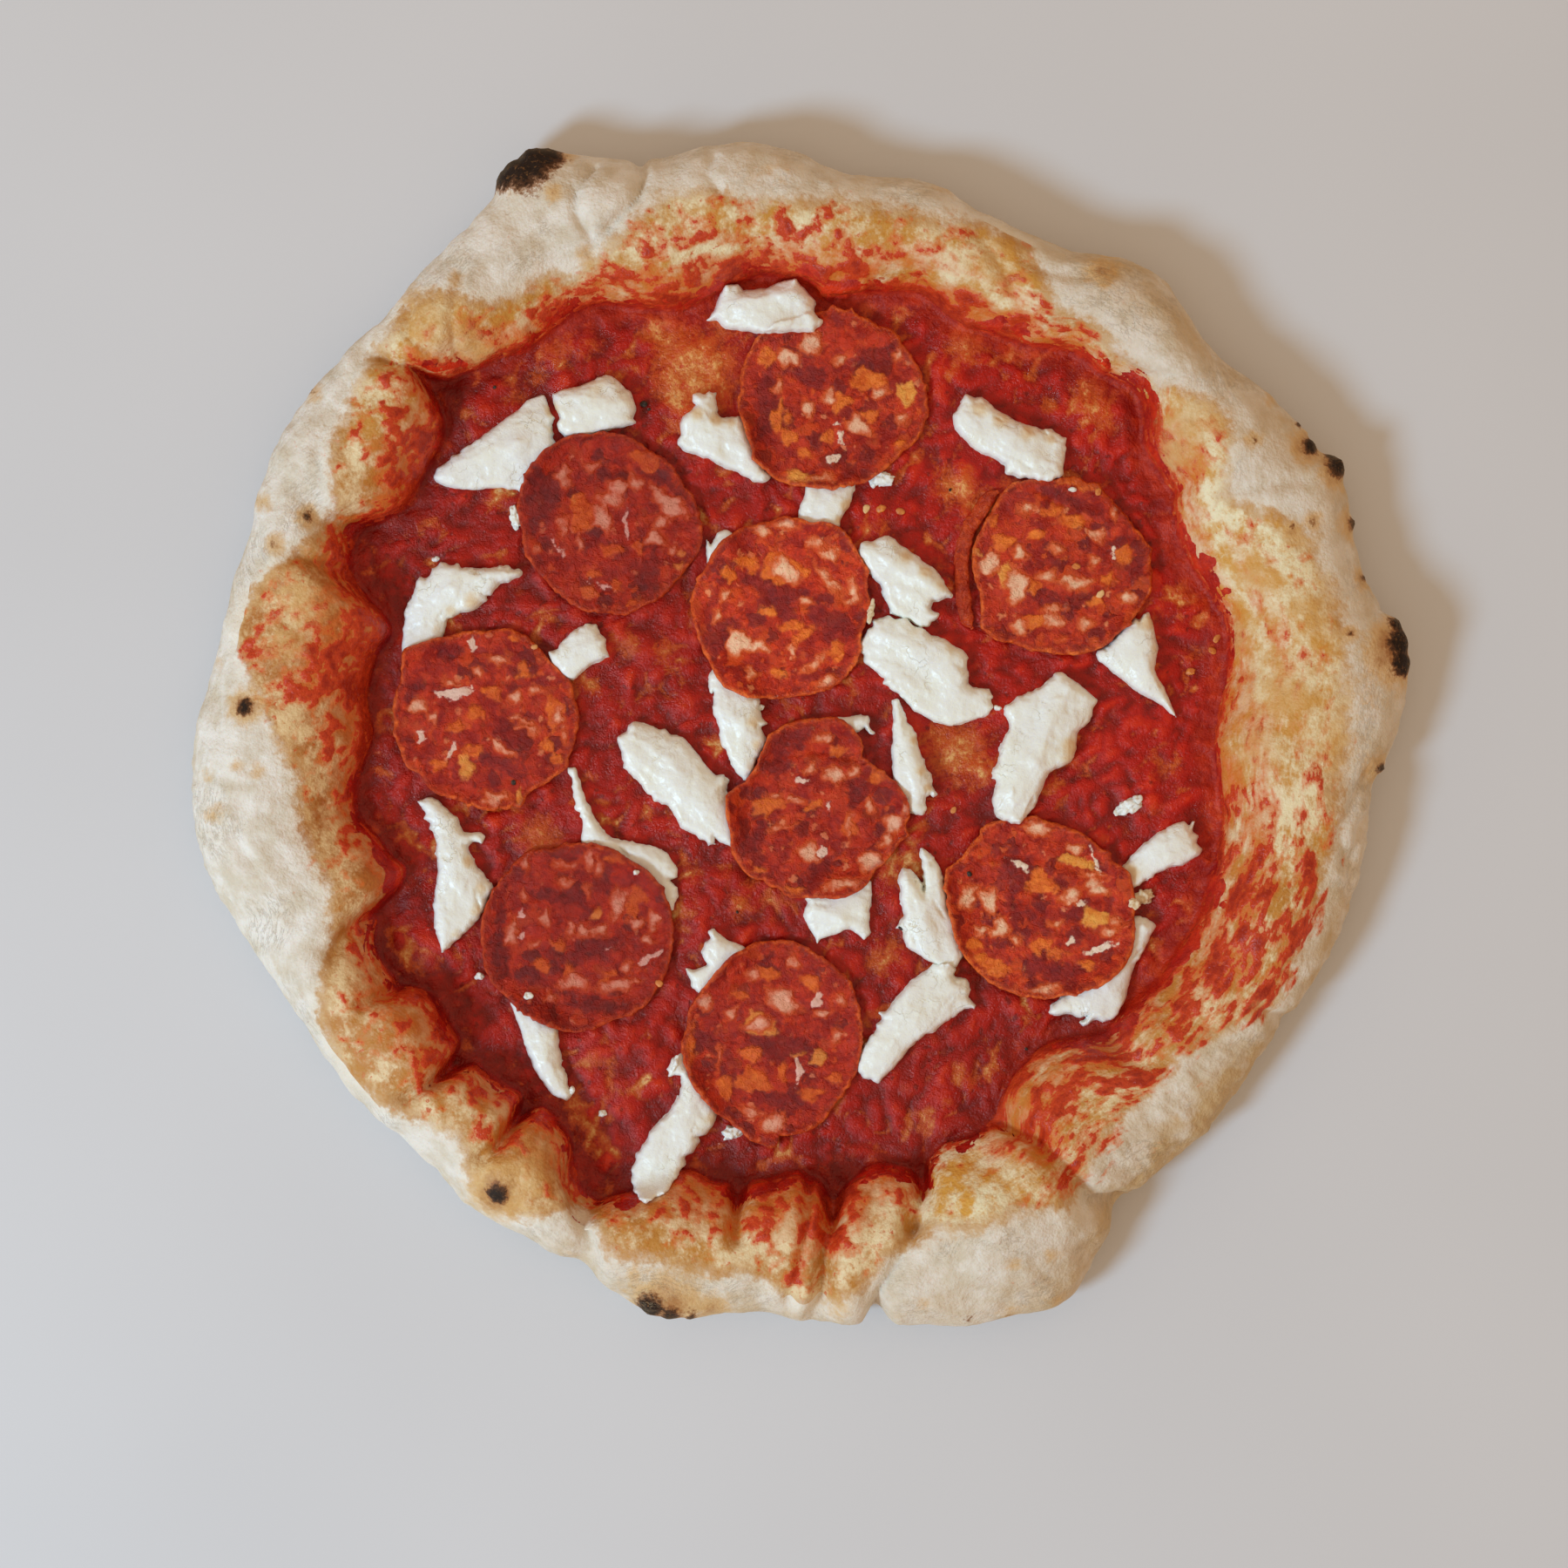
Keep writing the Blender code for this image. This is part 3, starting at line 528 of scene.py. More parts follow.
    # Its tan gathers towards the outer edge: partly the dough's own colour, partly painted shade on the outward slope.
    towards_edge = np.clip((np.hypot(x, y) - limit) / (out - limit), 0, 1)
    tan_and_shade = station(TAN_AND_SHADE, angle) * (0.42 + 1.0 * step(towards_edge, 0.2, 0.95))
    stain = np.where(row > 52, -30.0, limit - np.hypot(x, y))
    flow = np.stack([padded(v, 0, 0) for v in (fx, fy, across * 2.6)], -1)
    wall = np.where(row < 37, 0.0, step(12 - z, -3, 8))
    attributes = {
        "stain": padded(stain, 5, -30).reshape(-1),
        "depth": padded(depth_in - 0.28 * clean, 1, -0.5).reshape(-1),
        "splash": padded(splash, 1, -1.5).reshape(-1),
        "golden": padded(golden, 0, 0).reshape(-1),
        "burnt": padded(burnt, 0, 0).reshape(-1),
        "outside": padded(outside, 0, 0).reshape(-1),
        "brown": padded(station(BROWN_AND_SHADE, angle), 0, 0).reshape(-1),
        "red": padded(red, 0, 0).reshape(-1),
        "tan_and_shade": padded(tan_and_shade, 0, 0).reshape(-1),
        "drawn_out": padded(drawn_out, 0, 0).reshape(-1),
        "wall": padded(wall, 0, 0).reshape(-1),
        "under": padded(np.where(z < 2.0, 1.0 - z / 2.0, 0) * (row > 60), 0, 1).reshape(-1),
        "hollow": padded(push, 0, 0).reshape(-1),
        "flow": flow.reshape(-1, 3),
    }
    quads = rings(rows, AROUND)
    first = np.arange(AROUND)[None, :]
    last = (np.arange(AROUND) + (rows - 1) * AROUND)[None, ::-1]
    thing = make("dough_crust", points, [quads, first, last], attributes)
    return thing, points, quads


dough, dough_points, dough_quads = build_dough()


# ------------------------------------------- height map of what is already there
CELL = 0.5
HALF = 152.0
SIDE = int(2 * HALF / CELL) + 1
map_x, map_y = np.meshgrid(np.linspace(-HALF, HALF, SIDE), np.linspace(-HALF, HALF, SIDE), indexing="ij")


def sample(grid, x, y):
    """The map's value at x, y."""
    u = np.clip((np.asarray(x, float) + HALF) / CELL, 0, SIDE - 1.001)
    v = np.clip((np.asarray(y, float) + HALF) / CELL, 0, SIDE - 1.001)
    i, j = u.astype(int), v.astype(int)
    f, g = u - i, v - j
    return (grid[i, j] * (1 - f) * (1 - g) + grid[i + 1, j] * f * (1 - g)
            + grid[i, j + 1] * (1 - f) * g + grid[i + 1, j + 1] * f * g)


map_r = np.hypot(map_x, map_y)
map_angle = np.arctan2(map_y, map_x)
map_foot = foot_reach(map_angle)
# The base is bumpy: the sauce lies thick between the bumps and thin on them.
map_bumps = fbm(map_x, map_y, 0 * map_x, 10.0, 2, 28)
base_height = BASE + domes(map_x, map_y, BASE_SWELLS) + 0.95 * map_bumps


def dough_heights():
    """The dough's top on the map: cast down on the rim, and the base inside it."""
    tree = BVHTree.FromPolygons(dough_points.tolist(), dough_quads.tolist())
    heights = base_height - 0.7
    near = (map_r > map_foot - 6) & (map_r < map_foot + 26)
    down = Vector((0, 0, -1))
    found = np.full(int(near.sum()), 0.0)
    for n, (px, py) in enumerate(zip(map_x[near], map_y[near])):
        hit = tree.ray_cast(Vector((px, py, 60)), down)
        found[n] = hit[0].z if hit[0] is not None else 0.0
    heights[near] = found
    heights[map_r >= map_foot + 26] = 30.0
    return heights


dough_height = dough_heights()

# ------------------------------------------------------------------- the sauce
# Places where the dough shows through thin sauce: plan x, y, radius, strength.
THIN = (
    (795, 425, 62, 1.0), (778, 452, 28, 1.0), (755, 374, 26, 0.9), (1108, 395, 34, 0.8),
    (1258, 452, 34, 0.7), (1100, 558, 34, 0.85), (1100, 862, 46, 0.88), (1120, 880, 36, 0.7),
    (620, 962, 34, 0.8), (1160, 560, 26, 0.6), (640, 402, 26, 0.7), (590, 450, 22, 0.6),
    (1270, 482, 24, 0.7), (720, 742, 22, 0.7), (760, 746, 22, 0.7), (850, 1042, 24, 0.7),
    (1340, 880, 28, 0.6), (1010, 1106, 24, 0.7), (1030, 1082, 20, 0.6), (655, 1262, 22, 0.7),
    (1008, 600, 26, 0.5), (745, 792, 18, 0.5), (500, 1110, 24, 0.4), (1120, 1240, 30, 0.5),
    (1340, 700, 26, 0.4), (860, 1010, 20, 0.6), (1180, 400, 22, 0.5), (700, 1230, 30, 0.4),
    (1207, 462, 16, 0.7), (996, 351, 18, 0.6), (1378, 747, 24, 0.5), (676, 390, 22, 0.6), (615, 428, 20, 0.6),
    (657, 1271, 16, 0.8), (833, 367, 36, 0.7), (770, 388, 36, 0.8),
)


def sauce_heights():
    x, y = map_x, map_y
    z0 = np.zeros_like(x)
    thin = spots(x, y, THIN)
    # Pulp lies in soft lumps with short wet ridges between them.
    lump = fbm(x, y, z0, 9.5, 2, 21)
    warp_x = x + 2.2 * fbm(x, y, z0, 9, 2, 23)
    warp_y = y + 2.2 * fbm(x, y, z0, 9, 2, 24)
    # Rounded mounds with sharp valleys between them, in two sizes.
    pulp = np.abs(noise(warp_x / 5.6, warp_y / 5.6, z0 + 2.2)) * 2.4 - 0.6
    mounds = np.abs(noise(warp_x / 3.0, warp_y / 3.0, z0 + 4.4)) * 2.4 - 0.6
    grain = fbm(x, y, z0, 1.7, 2, 25)
    body = 0.70 + 0.30 * lump - 0.46 * map_bumps + 0.52 * pulp + 0.26 * mounds + 0.08 * grain
    film = np.clip(body, -0.1, 2.2) * (1 - 0.75 * np.clip(thin, 0, 1)) + 0.15
    surface = base_height + film
    # It climbs a little way up the rim in uneven tongues.
    beyond = map_r - map_foot
    tongues = 3.4 * fbm(x, y, z0, 15, 2, 26) + 1.6 * fbm(x, y, z0, 5, 2, 27)
    coat = np.interp(beyond - tongues, (-7, -2, 0.5, 3.0, 9), (0.75, 0.5, 0.22, -0.45, -1.4))
    climbing = dough_height + coat + (0.26 * pulp + 0.10 * mounds) * step(beyond, -7, -2)
    mix = step(beyond, -5.0, -1.0)
    blend = np.maximum(surface, climbing) * mix + surface * (1 - mix)
    blend = np.where(beyond > 1.5, climbing, blend)
    soft = step(beyond, 0.5, 2.5)
    blend = np.where((beyond > 0.5) & (beyond <= 2.5),
                     (np.maximum(surface, climbing)) * (1 - soft) + climbing * soft, blend)
    thinness = np.clip(1 - (film - 0.05) / 0.75, 0, 1)
    thinness = np.maximum(thinness * step(-beyond, -2, 3), 0.42 * step(-coat, -0.35, 0.35))
    # How far each place stands above or below what is round it.
    stands = blend - blur(blur(blend, 5), 5)
    # The hollows are painted darker in the material, partly as shade; close to the foot of the rim less so.
    stands = np.where(stands < 0, stands * (0.3 + 0.7 * step(-beyond, 2, 9)), stands)
    return blend, np.clip(np.maximum(thinness, thin * 0.9), 0, 1), np.clip(stands * (map_r < map_foot + 1), -0.4, 1.2)


sauce_height, sauce_thin, sauce_stands = sauce_heights()


def build_sauce():
    n = 276
    t = np.linspace(-1, 1, n + 1)
    a, b = np.meshgrid(t, t, indexing="ij")
    # A square grid bent into a disc, so that the border is one smooth loop.
    wide = np.abs(a) >= np.abs(b)
    with np.errstate(divide="ignore", invalid="ignore"):
        radius = np.where(wide, np.abs(a), np.abs(b))
        turn = np.where(wide, np.pi / 4 * b / a + np.where(a < 0, np.pi, 0), np.pi / 2 - np.pi / 4 * a / b + np.where(b < 0, np.pi, 0))
    turn = np.nan_to_num(turn)
    reach = foot_reach(turn) + 9.0
    x, y = radius * reach * np.cos(turn), radius * reach * np.sin(turn)
    z = sample(sauce_height, x, y)
    rim_edge = np.maximum(np.abs(a), np.abs(b)) > 1 - 0.5 / n
    z = np.where(rim_edge, np.minimum(z, sample(dough_height, x, y) - 1.2), z)
    z = np.maximum(z, 2.4)
    top = np.stack([x, y, z], -1).reshape(-1, 3)
    idx = np.arange((n + 1) ** 2).reshape(n + 1, n + 1)
    quads = np.stack([idx[:-1, :-1], idx[1:, :-1], idx[1:, 1:], idx[:-1, 1:]], -1).reshape(-1, 4)
    loop = np.concatenate([idx[:-1, 0], idx[-1, :-1], idx[:0:-1, -1], idx[0, :0:-1]])
    # The skirt goes straight down inside the rim to a flat floor.
    low = top[loop].copy()
    shrink = 1 - 4.0 / np.hypot(low[:, 0], low[:, 1])[:, None]
    low[:, :2] *= shrink
    low[:, 2] = 2.0
    m = len(loop)
    k = np.arange(m)
    first = len(top)
    skirt = np.stack([loop[k], first + k, first + (k + 1) % m, loop[(k + 1) % m]], -1)
    floor_face = (first + k)[None, ::-1]
    points = np.concatenate([top, low])
    thin = np.concatenate([sample(sauce_thin, x, y).reshape(-1), np.zeros(m)])
    stands = np.concatenate([sample(sauce_stands, x, y).reshape(-1), np.zeros(m)])
    # The pulp is a little lighter towards the far right side, and along the foot.
    light = step(x + y, 0, 100) + 0.5 * step(np.hypot(x, y) - foot_reach(np.arctan2(y, x)), -10, -2)
    light = np.concatenate([np.clip(light, 0, 1).reshape(-1), np.zeros(m)])
    heading = np.arctan2(y, x)
    # Along the foot of the rim, strongest on the side that faces the lamp: painted light.
    foot = step(np.hypot(x, y) - foot_reach(heading), -7.5, -2.5) * (0.22 + 0.78 * step(np.cos(heading - math.radians(40)), -0.3, 0.5))
    foot = np.concatenate([foot.reshape(-1), np.zeros(m)])
    attributes = {"thin": thin, "stands": stands, "light": light, "foot": foot}
    thing = make("tomato_sauce", points, [quads, skirt, floor_face], attributes)
    return thing


sauce = build_sauce()
ground = np.maximum(np.where(dough_height > 29.5, 0, dough_height), sauce_height * (map_r < map_foot + 9))


# -------------------------------------------------------------- the mozzarella
# Torn chunks: thickness in mm, the outline, and the line of the sharpest ridge.
MOZZARELLA = {
    "01": (6.5, ((810, 366), (821, 350), (826, 336), (833, 325), (848, 324), (852, 330), (878, 328), (900, 319),
                 (914, 318), (924, 330), (936, 342), (936, 358), (944, 367), (934, 379), (905, 379), (876, 381),
                 (832, 374), (822, 364)), ((838, 346), (880, 340), (925, 336))),
    "02": (4.5, ((494, 546), (500, 535), (520, 520), (550, 500), (576, 480), (600, 460), (612, 452), (622, 450),
                 (626, 456), (630, 470), (636, 478), (632, 486), (634, 500), (640, 515), (625, 540), (600, 562),
                 (594, 562), (575, 558), (560, 559), (540, 561), (520, 559), (503, 554), (496, 549)),
           ((500, 548), (560, 524), (626, 490))),
    "03": (6.0, ((632, 450), (645, 445), (665, 441), (683, 432), (690, 428), (703, 430), (714, 440), (722, 448),
                 (728, 460), (729, 466), (726, 478), (730, 483), (715, 488), (700, 491), (686, 496), (670, 502),
                 (655, 500), (648, 500), (640, 492), (638, 484), (642, 478), (636, 465), (634, 458)),
           ((640, 474), (680, 462), (722, 462))),
    "04": (5.5, ((795, 450), (801, 448), (809, 451), (813, 445), (817, 448), (823, 447), (820, 453), (821, 460),
                 (823, 468), (821, 472), (828, 476), (836, 477), (848, 475), (854, 480), (860, 495), (866, 510),
                 (868, 517), (880, 538), (884, 545), (878, 551), (868, 553), (850, 542), (835, 537), (820, 529),
                 (808, 523), (805, 524), (800, 521), (790, 518), (782, 514), (777, 509), (777, 503), (781, 496),
                 (780, 487), (780, 483), (784, 476), (793, 469), (799, 462), (794, 459)),
           ((787, 480), (815, 484), (836, 494), (868, 530))),
    "05": (5.5, ((1095, 473), (1104, 460), (1108, 451), (1112, 449), (1119, 455), (1128, 453), (1135, 458),
                 (1147, 469), (1155, 472), (1168, 481), (1180, 485), (1200, 491), (1207, 489), (1217, 496),
                 (1226, 500), (1226, 510), (1223, 525), (1223, 542), (1218, 547), (1203, 551), (1185, 549),
                 (1165, 543), (1157, 541), (1156, 533), (1140, 523), (1128, 519), (1112, 506), (1102, 497),
                 (1095, 485)), ((1104, 468), (1125, 490), (1150, 505), (1175, 520), (1215, 533))),
    "06": (4.0, ((927, 548), (925, 560), (920, 580), (917, 592), (920, 604), (935, 608), (960, 606), (966, 592),
                 (976, 578), (980, 565), (983, 550)), ((975, 560), (955, 600))),
    "07": (5.5, ((988, 621), (1003, 620), (1017, 613), (1023, 615), (1040, 628), (1060, 641), (1075, 655),
                 (1085, 665), (1090, 675), (1094, 684), (1086, 686), (1078, 690), (1072, 688), (1069, 699),
                 (1080, 704), (1079, 708), (1072, 712), (1066, 720), (1056, 720), (1045, 712), (1030, 706),
                 (1024, 703), (1022, 698), (1014, 683), (1012, 672), (1003, 662), (995, 650), (987, 636),
                 (986, 630)), ((1004, 634), (1040, 656), (1084, 680))),
    "08": (5.5, ((986, 738), (990, 730), (996, 722), (1002, 715), (1003, 710), (1010, 708), (1020, 705), (1028, 709),
                 (1040, 708), (1050, 718), (1062, 722), (1070, 728), (1085, 732), (1098, 742), (1108, 745),
                 (1112, 755), (1111, 765), (1114, 775), (1112, 785), (1120, 790), (1138, 789), (1143, 799),
                 (1137, 802), (1142, 811), (1137, 820), (1120, 826), (1105, 831), (1090, 833), (1075, 829),
                 (1063, 822), (1050, 815), (1045, 809), (1040, 804), (1035, 800), (1030, 795), (1015, 785),
                 (1016, 778), (1005, 770), (992, 760), (992, 752), (987, 745)),
           ((1004, 722), (1040, 738), (1084, 752), (1104, 778))),
    "09": (5.0, ((459, 745), (460, 725), (462, 705), (466, 692), (472, 680), (476, 665), (480, 661), (486, 663),
                 (490, 660), (493, 652), (500, 648), (505, 645), (514, 648), (524, 646), (528, 650), (545, 651),
                 (562, 651), (575, 650), (582, 647), (586, 651), (597, 653), (597, 657), (592, 662), (583, 667),
                 (572, 668), (566, 677), (562, 682), (556, 684), (558, 688), (552, 691), (546, 697), (538, 701),
                 (528, 702), (520, 706), (512, 708), (508, 718), (507, 730), (500, 745), (480, 760), (462, 762)),
           ((478, 740), (485, 705), (505, 678), (550, 664), (585, 656))),
    "10": (4.0, ((628, 748), (638, 745), (640, 737), (650, 731), (655, 724), (662, 721), (670, 716), (684, 716),
                 (688, 726), (694, 735), (694, 742), (698, 752), (690, 757), (678, 762), (668, 770), (660, 778),
                 (655, 780), (648, 778), (632, 762)), ((642, 752), (668, 738), (688, 738))),
    "11": (3.5, ((810, 617), (816, 624), (820, 617), (823, 609), (832, 606), (845, 612), (850, 640), (835, 665),
                 (815, 660), (811, 648)), ((818, 628), (834, 640))),
    "12": (4.5, ((817, 768), (812, 775), (812, 790), (815, 796), (819, 793), (820, 800), (817, 812), (822, 825),
                 (825, 840), (828, 852), (832, 862), (838, 875), (845, 888), (852, 896), (858, 896), (862, 888),
                 (866, 878), (872, 868), (877, 858), (880, 850), (876, 840), (873, 835), (882, 830), (874, 824),
                 (872, 812), (872, 802), (868, 785), (850, 770), (835, 760), (820, 762)),
           ((846, 772), (852, 820), (855, 884))),
    "13": (5.5, ((708, 848), (712, 842), (718, 838), (724, 828), (735, 829), (745, 832), (757, 837), (762, 836),
                 (770, 843), (784, 846), (790, 854), (800, 865), (812, 880), (822, 892), (830, 888), (835, 894),
                 (836, 900), (832, 908), (838, 915), (845, 935), (850, 955), (840, 972), (835, 970), (828, 966),
                 (820, 962), (821, 971), (814, 970), (805, 964), (795, 958), (788, 954), (780, 950), (775, 938),
                 (768, 928), (762, 924), (752, 920), (746, 914), (740, 908), (735, 900), (725, 890), (716, 882),
                 (714, 870), (710, 860)), ((724, 842), (770, 876), (812, 918), (828, 950))),
    "14": (5.0, ((1025, 802), (1030, 800), (1032, 806), (1040, 818), (1041, 826), (1048, 834), (1054, 842),
                 (1056, 856), (1058, 866), (1062, 874), (1066, 882), (1072, 895), (1071, 902), (1078, 912),
                 (1073, 916), (1070, 912), (1064, 914), (1062, 922), (1065, 930), (1060, 938), (1054, 936),
                 (1050, 934), (1044, 934), (1035, 920), (1030, 910), (1027, 898), (1025, 880), (1024, 860),
                 (1025, 840), (1026, 820)), ((1030, 812), (1040, 860), (1054, 910))),
    "15": (6.5, ((1154, 814), (1159, 808), (1168, 800), (1180, 795), (1195, 790), (1204, 780), (1212, 772),
                 (1221, 770), (1230, 777), (1240, 784), (1252, 793), (1262, 804), (1256, 813), (1254, 825),
                 (1246, 834), (1238, 842), (1238, 858), (1234, 870), (1226, 878), (1216, 882), (1206, 888),
                 (1200, 900), (1194, 915), (1188, 928), (1180, 938), (1172, 946), (1164, 945), (1158, 941),
                 (1150, 942), (1144, 935), (1141, 925), (1141, 910), (1144, 902), (1144, 895), (1139, 894),
                 (1140, 885), (1145, 875), (1148, 860), (1154, 846), (1159, 835), (1160, 828), (1154, 820)),
           ((1228, 790), (1208, 824), (1196, 862), (1162, 925))),
    "16": (4.5, ((1260, 750), (1262, 746), (1275, 740), (1285, 728), (1297, 715), (1305, 708), (1310, 712),
                 (1315, 703), (1321, 702), (1326, 715), (1328, 725), (1332, 742), (1330, 755), (1328, 768),
                 (1332, 778), (1340, 790), (1346, 805), (1351, 818), (1353, 825), (1345, 818), (1338, 810),
                 (1328, 804), (1312, 796), (1300, 788), (1288, 777), (1275, 768), (1264, 758)),
           ((1302, 716), (1314, 756), (1346, 814))),
    "17": (3.0, ((942, 822), (975, 822), (998, 820), (999, 833), (1007, 843), (1001, 844), (994, 835), (983, 841),
                 (960, 835), (945, 828)), ((946, 826), (990, 828))),
    "18": (5.0, ((476, 918), (484, 916), (494, 914), (500, 919), (510, 928), (518, 936), (524, 937), (525, 946),
                 (530, 955), (540, 956), (548, 956), (555, 960), (552, 970), (548, 968), (540, 966), (535, 972),
                 (540, 985), (545, 995), (552, 1003), (560, 1012), (565, 1020), (560, 1030), (556, 1040),
                 (553, 1047), (545, 1058), (540, 1062), (530, 1072), (520, 1082), (510, 1092), (504, 1095),
                 (502, 1085), (500, 1075), (495, 1066), (497, 1050), (494, 1040), (498, 1020), (500, 1000),
                 (500, 985), (497, 980), (498, 968), (495, 955), (490, 952), (492, 945), (484, 940), (486, 935),
                 (482, 928)), ((492, 922), (514, 960), (524, 1015), (508, 1080))),
    "19": (4.0, ((650, 881), (660, 880), (663, 892), (668, 908), (674, 922), (682, 940), (690, 952), (700, 962),
                 (712, 964), (725, 966), (740, 970), (752, 972), (765, 980), (772, 990), (778, 998), (776, 1008),
                 (768, 1012), (776, 1018), (778, 1030), (772, 1045), (769, 1048), (755, 1040), (735, 1010),
                 (700, 990), (672, 985), (666, 965), (668, 950), (664, 935), (657, 930), (658, 915), (656, 900)),
           ((660, 900), (684, 956), (752, 988), (772, 1030))),
    "20": (4.5, ((584, 1152), (590, 1170), (595, 1182), (600, 1200), (607, 1215), (612, 1230), (622, 1245),
                 (632, 1258), (640, 1263), (650, 1266), (655, 1258), (650, 1248), (648, 1235), (642, 1225),
                 (643, 1215), (640, 1200), (639, 1185), (640, 1170), (620, 1155), (600, 1145), (586, 1145)),
           ((612, 1170), (626, 1214), (644, 1256))),
    "21": (3.5, ((812, 1070), (818, 1066), (824, 1072), (834, 1080), (845, 1085), (857, 1090), (850, 1110),
                 (840, 1130), (815, 1140), (802, 1142), (794, 1136), (793, 1128), (787, 1116), (786, 1112),
                 (795, 1115), (805, 1112), (812, 1108), (806, 1100), (805, 1092), (810, 1083), (816, 1078)),
           ((818, 1076), (826, 1104), (800, 1132))),
    "22": (5.5, ((766, 1238), (764, 1230), (772, 1216), (784, 1209), (790, 1220), (792, 1232), (800, 1240),
                 (815, 1255), (822, 1275), (822, 1283), (818, 1295), (808, 1305), (800, 1308), (803, 1312),
                 (800, 1318), (795, 1325), (786, 1330), (785, 1340), (778, 1350), (772, 1360), (762, 1370),
                 (752, 1374), (742, 1380), (735, 1376), (728, 1368), (724, 1360), (725, 1342), (732, 1325),
                 (740, 1312), (746, 1300), (758, 1288), (770, 1275), (776, 1262), (782, 1250), (782, 1240),
                 (774, 1236)), ((794, 1246), (790, 1284), (754, 1336), (738, 1366))),
    "23": (3.5, ((924, 1032), (928, 1038), (925, 1045), (922, 1052), (926, 1062), (932, 1072), (937, 1078),
                 (938, 1086), (942, 1080), (952, 1076), (965, 1072), (976, 1066), (984, 1073), (992, 1081),
                 (999, 1075), (999, 1068), (997, 1060), (1000, 1048), (1001, 1035), (1003, 1020), (1000, 1012),
                 (985, 1005), (960, 1005), (935, 1010), (925, 1020)), ((934, 1044), (968, 1058), (996, 1056))),
    "24": (5.5, ((1031, 1010), (1035, 1003), (1038, 997), (1046, 998), (1052, 1006), (1058, 1012), (1062, 1024),
                 (1063, 1020), (1061, 1005), (1058, 992), (1056, 983), (1058, 974), (1066, 978), (1074, 984),
                 (1079, 996), (1084, 1010), (1088, 1030), (1090, 1045), (1100, 1050), (1108, 1080), (1106, 1096),
                 (1100, 1110), (1096, 1113), (1073, 1108), (1066, 1104), (1058, 1099), (1050, 1092), (1042, 1088),
                 (1036, 1078), (1037, 1070), (1029, 1066), (1034, 1061), (1036, 1055), (1037, 1045), (1034, 1035),
                 (1034, 1025)), ((1044, 1008), (1056, 1050), (1080, 1094))),
    "25": (5.5, ((1073, 1108), (1080, 1107), (1090, 1107), (1097, 1113), (1096, 1122), (1105, 1125), (1112, 1128),
                 (1117, 1138), (1112, 1145), (1116, 1150), (1122, 1153), (1122, 1160), (1116, 1158), (1108, 1160),
                 (1098, 1168), (1088, 1174), (1080, 1180), (1072, 1187), (1065, 1188), (1055, 1195), (1045, 1205),
                 (1035, 1218), (1025, 1230), (1015, 1240), (1010, 1246), (1002, 1243), (992, 1238), (984, 1232),
                 (983, 1225), (987, 1212), (993, 1200), (1000, 1190), (1006, 1182), (1008, 1178), (1014, 1170),
                 (1010, 1165), (1018, 1163), (1024, 1155), (1028, 1148), (1035, 1142), (1040, 1134), (1050, 1125),
                 (1062, 1117)), ((1096, 1134), (1064, 1156), (1034, 1186), (1004, 1232))),
    "26": (5.0, ((1289, 997), (1300, 985), (1312, 973), (1325, 960), (1340, 952), (1350, 947), (1362, 943),
                 (1368, 950), (1371, 942), (1374, 942), (1372, 955), (1379, 960), (1376, 968), (1383, 976),
                 (1380, 982), (1370, 988), (1360, 994), (1348, 996), (1335, 1001), (1322, 1010), (1312, 1016),
                 (1303, 1020), (1285, 1015), (1280, 1005)), ((1306, 1000), (1340, 972), (1372, 958))),
    "27": (4.5, ((1303, 1053), (1315, 1052), (1325, 1058), (1328, 1064), (1324, 1075), (1318, 1088), (1310, 1100),
                 (1304, 1108), (1302, 1118), (1299, 1130), (1294, 1148), (1288, 1160), (1284, 1167), (1276, 1174),
                 (1266, 1174), (1258, 1172), (1252, 1178), (1246, 1180), (1240, 1175), (1248, 1172), (1250, 1168),
                 (1240, 1170), (1228, 1166), (1216, 1168), (1205, 1165), (1208, 1156), (1218, 1148), (1225, 1144),
                 (1240, 1130), (1265, 1115), (1285, 1095), (1292, 1070), (1296, 1058)),
           ((1314, 1064), (1298, 1104), (1272, 1146), (1230, 1158))),
}
# Cream-brown places on the chunks, partly oily stain and partly painted shade on facets that face away from the lamp:
# plan x, y, radius, strength.
BEIGE_AND_SHADE = (
    (633, 468, 10, 0.9), (634, 492, 7, 0.7), (684, 442, 20, 0.45), (660, 496, 14, 0.3), (800, 474, 9, 0.8),
    (822, 480, 9, 0.8), (840, 484, 8, 0.6), (1125, 468, 12, 0.8), (1150, 482, 11, 0.8), (1180, 496, 12, 0.75),
    (1208, 502, 10, 0.6), (974, 580, 10, 0.9), (966, 596, 8, 0.8), (1040, 640, 10, 0.7), (1062, 656, 10, 0.7),
    (1080, 672, 8, 0.6), (1050, 724, 10, 0.4), (1090, 744, 10, 0.4), (540, 690, 13, 0.7), (516, 700, 9, 0.6),
    (500, 722, 8, 0.5), (862, 800, 9, 0.6), (864, 830, 9, 0.7), (868, 855, 8, 0.7), (1050, 850, 7, 0.7),
    (1058, 885, 8, 0.7), (1066, 905, 7, 0.7), (1230, 858, 13, 0.85), (1226, 872, 9, 0.7), (1216, 800, 10, 0.3),
    (1319, 714, 11, 0.9), (1326, 744, 6, 0.6), (1334, 786, 6, 0.5), (536, 990, 9, 0.7), (550, 1020, 9, 0.7),
    (544, 1046, 9, 0.6), (520, 1074, 8, 0.5), (1300, 1003, 13, 0.8), (638, 1190, 8, 0.5), (816, 1286, 10, 0.5),
    (880, 336, 12, 0.35), (930, 346, 8, 0.4), (778, 858, 9, 0.3), (826, 905, 8, 0.4), (706, 972, 9, 0.35),
    (1316, 1088, 7, 0.4), (1290, 1150, 7, 0.4), (1096, 1064, 8, 0.4), (1072, 1176, 8, 0.3), (1104, 1146, 8, 0.4),
)


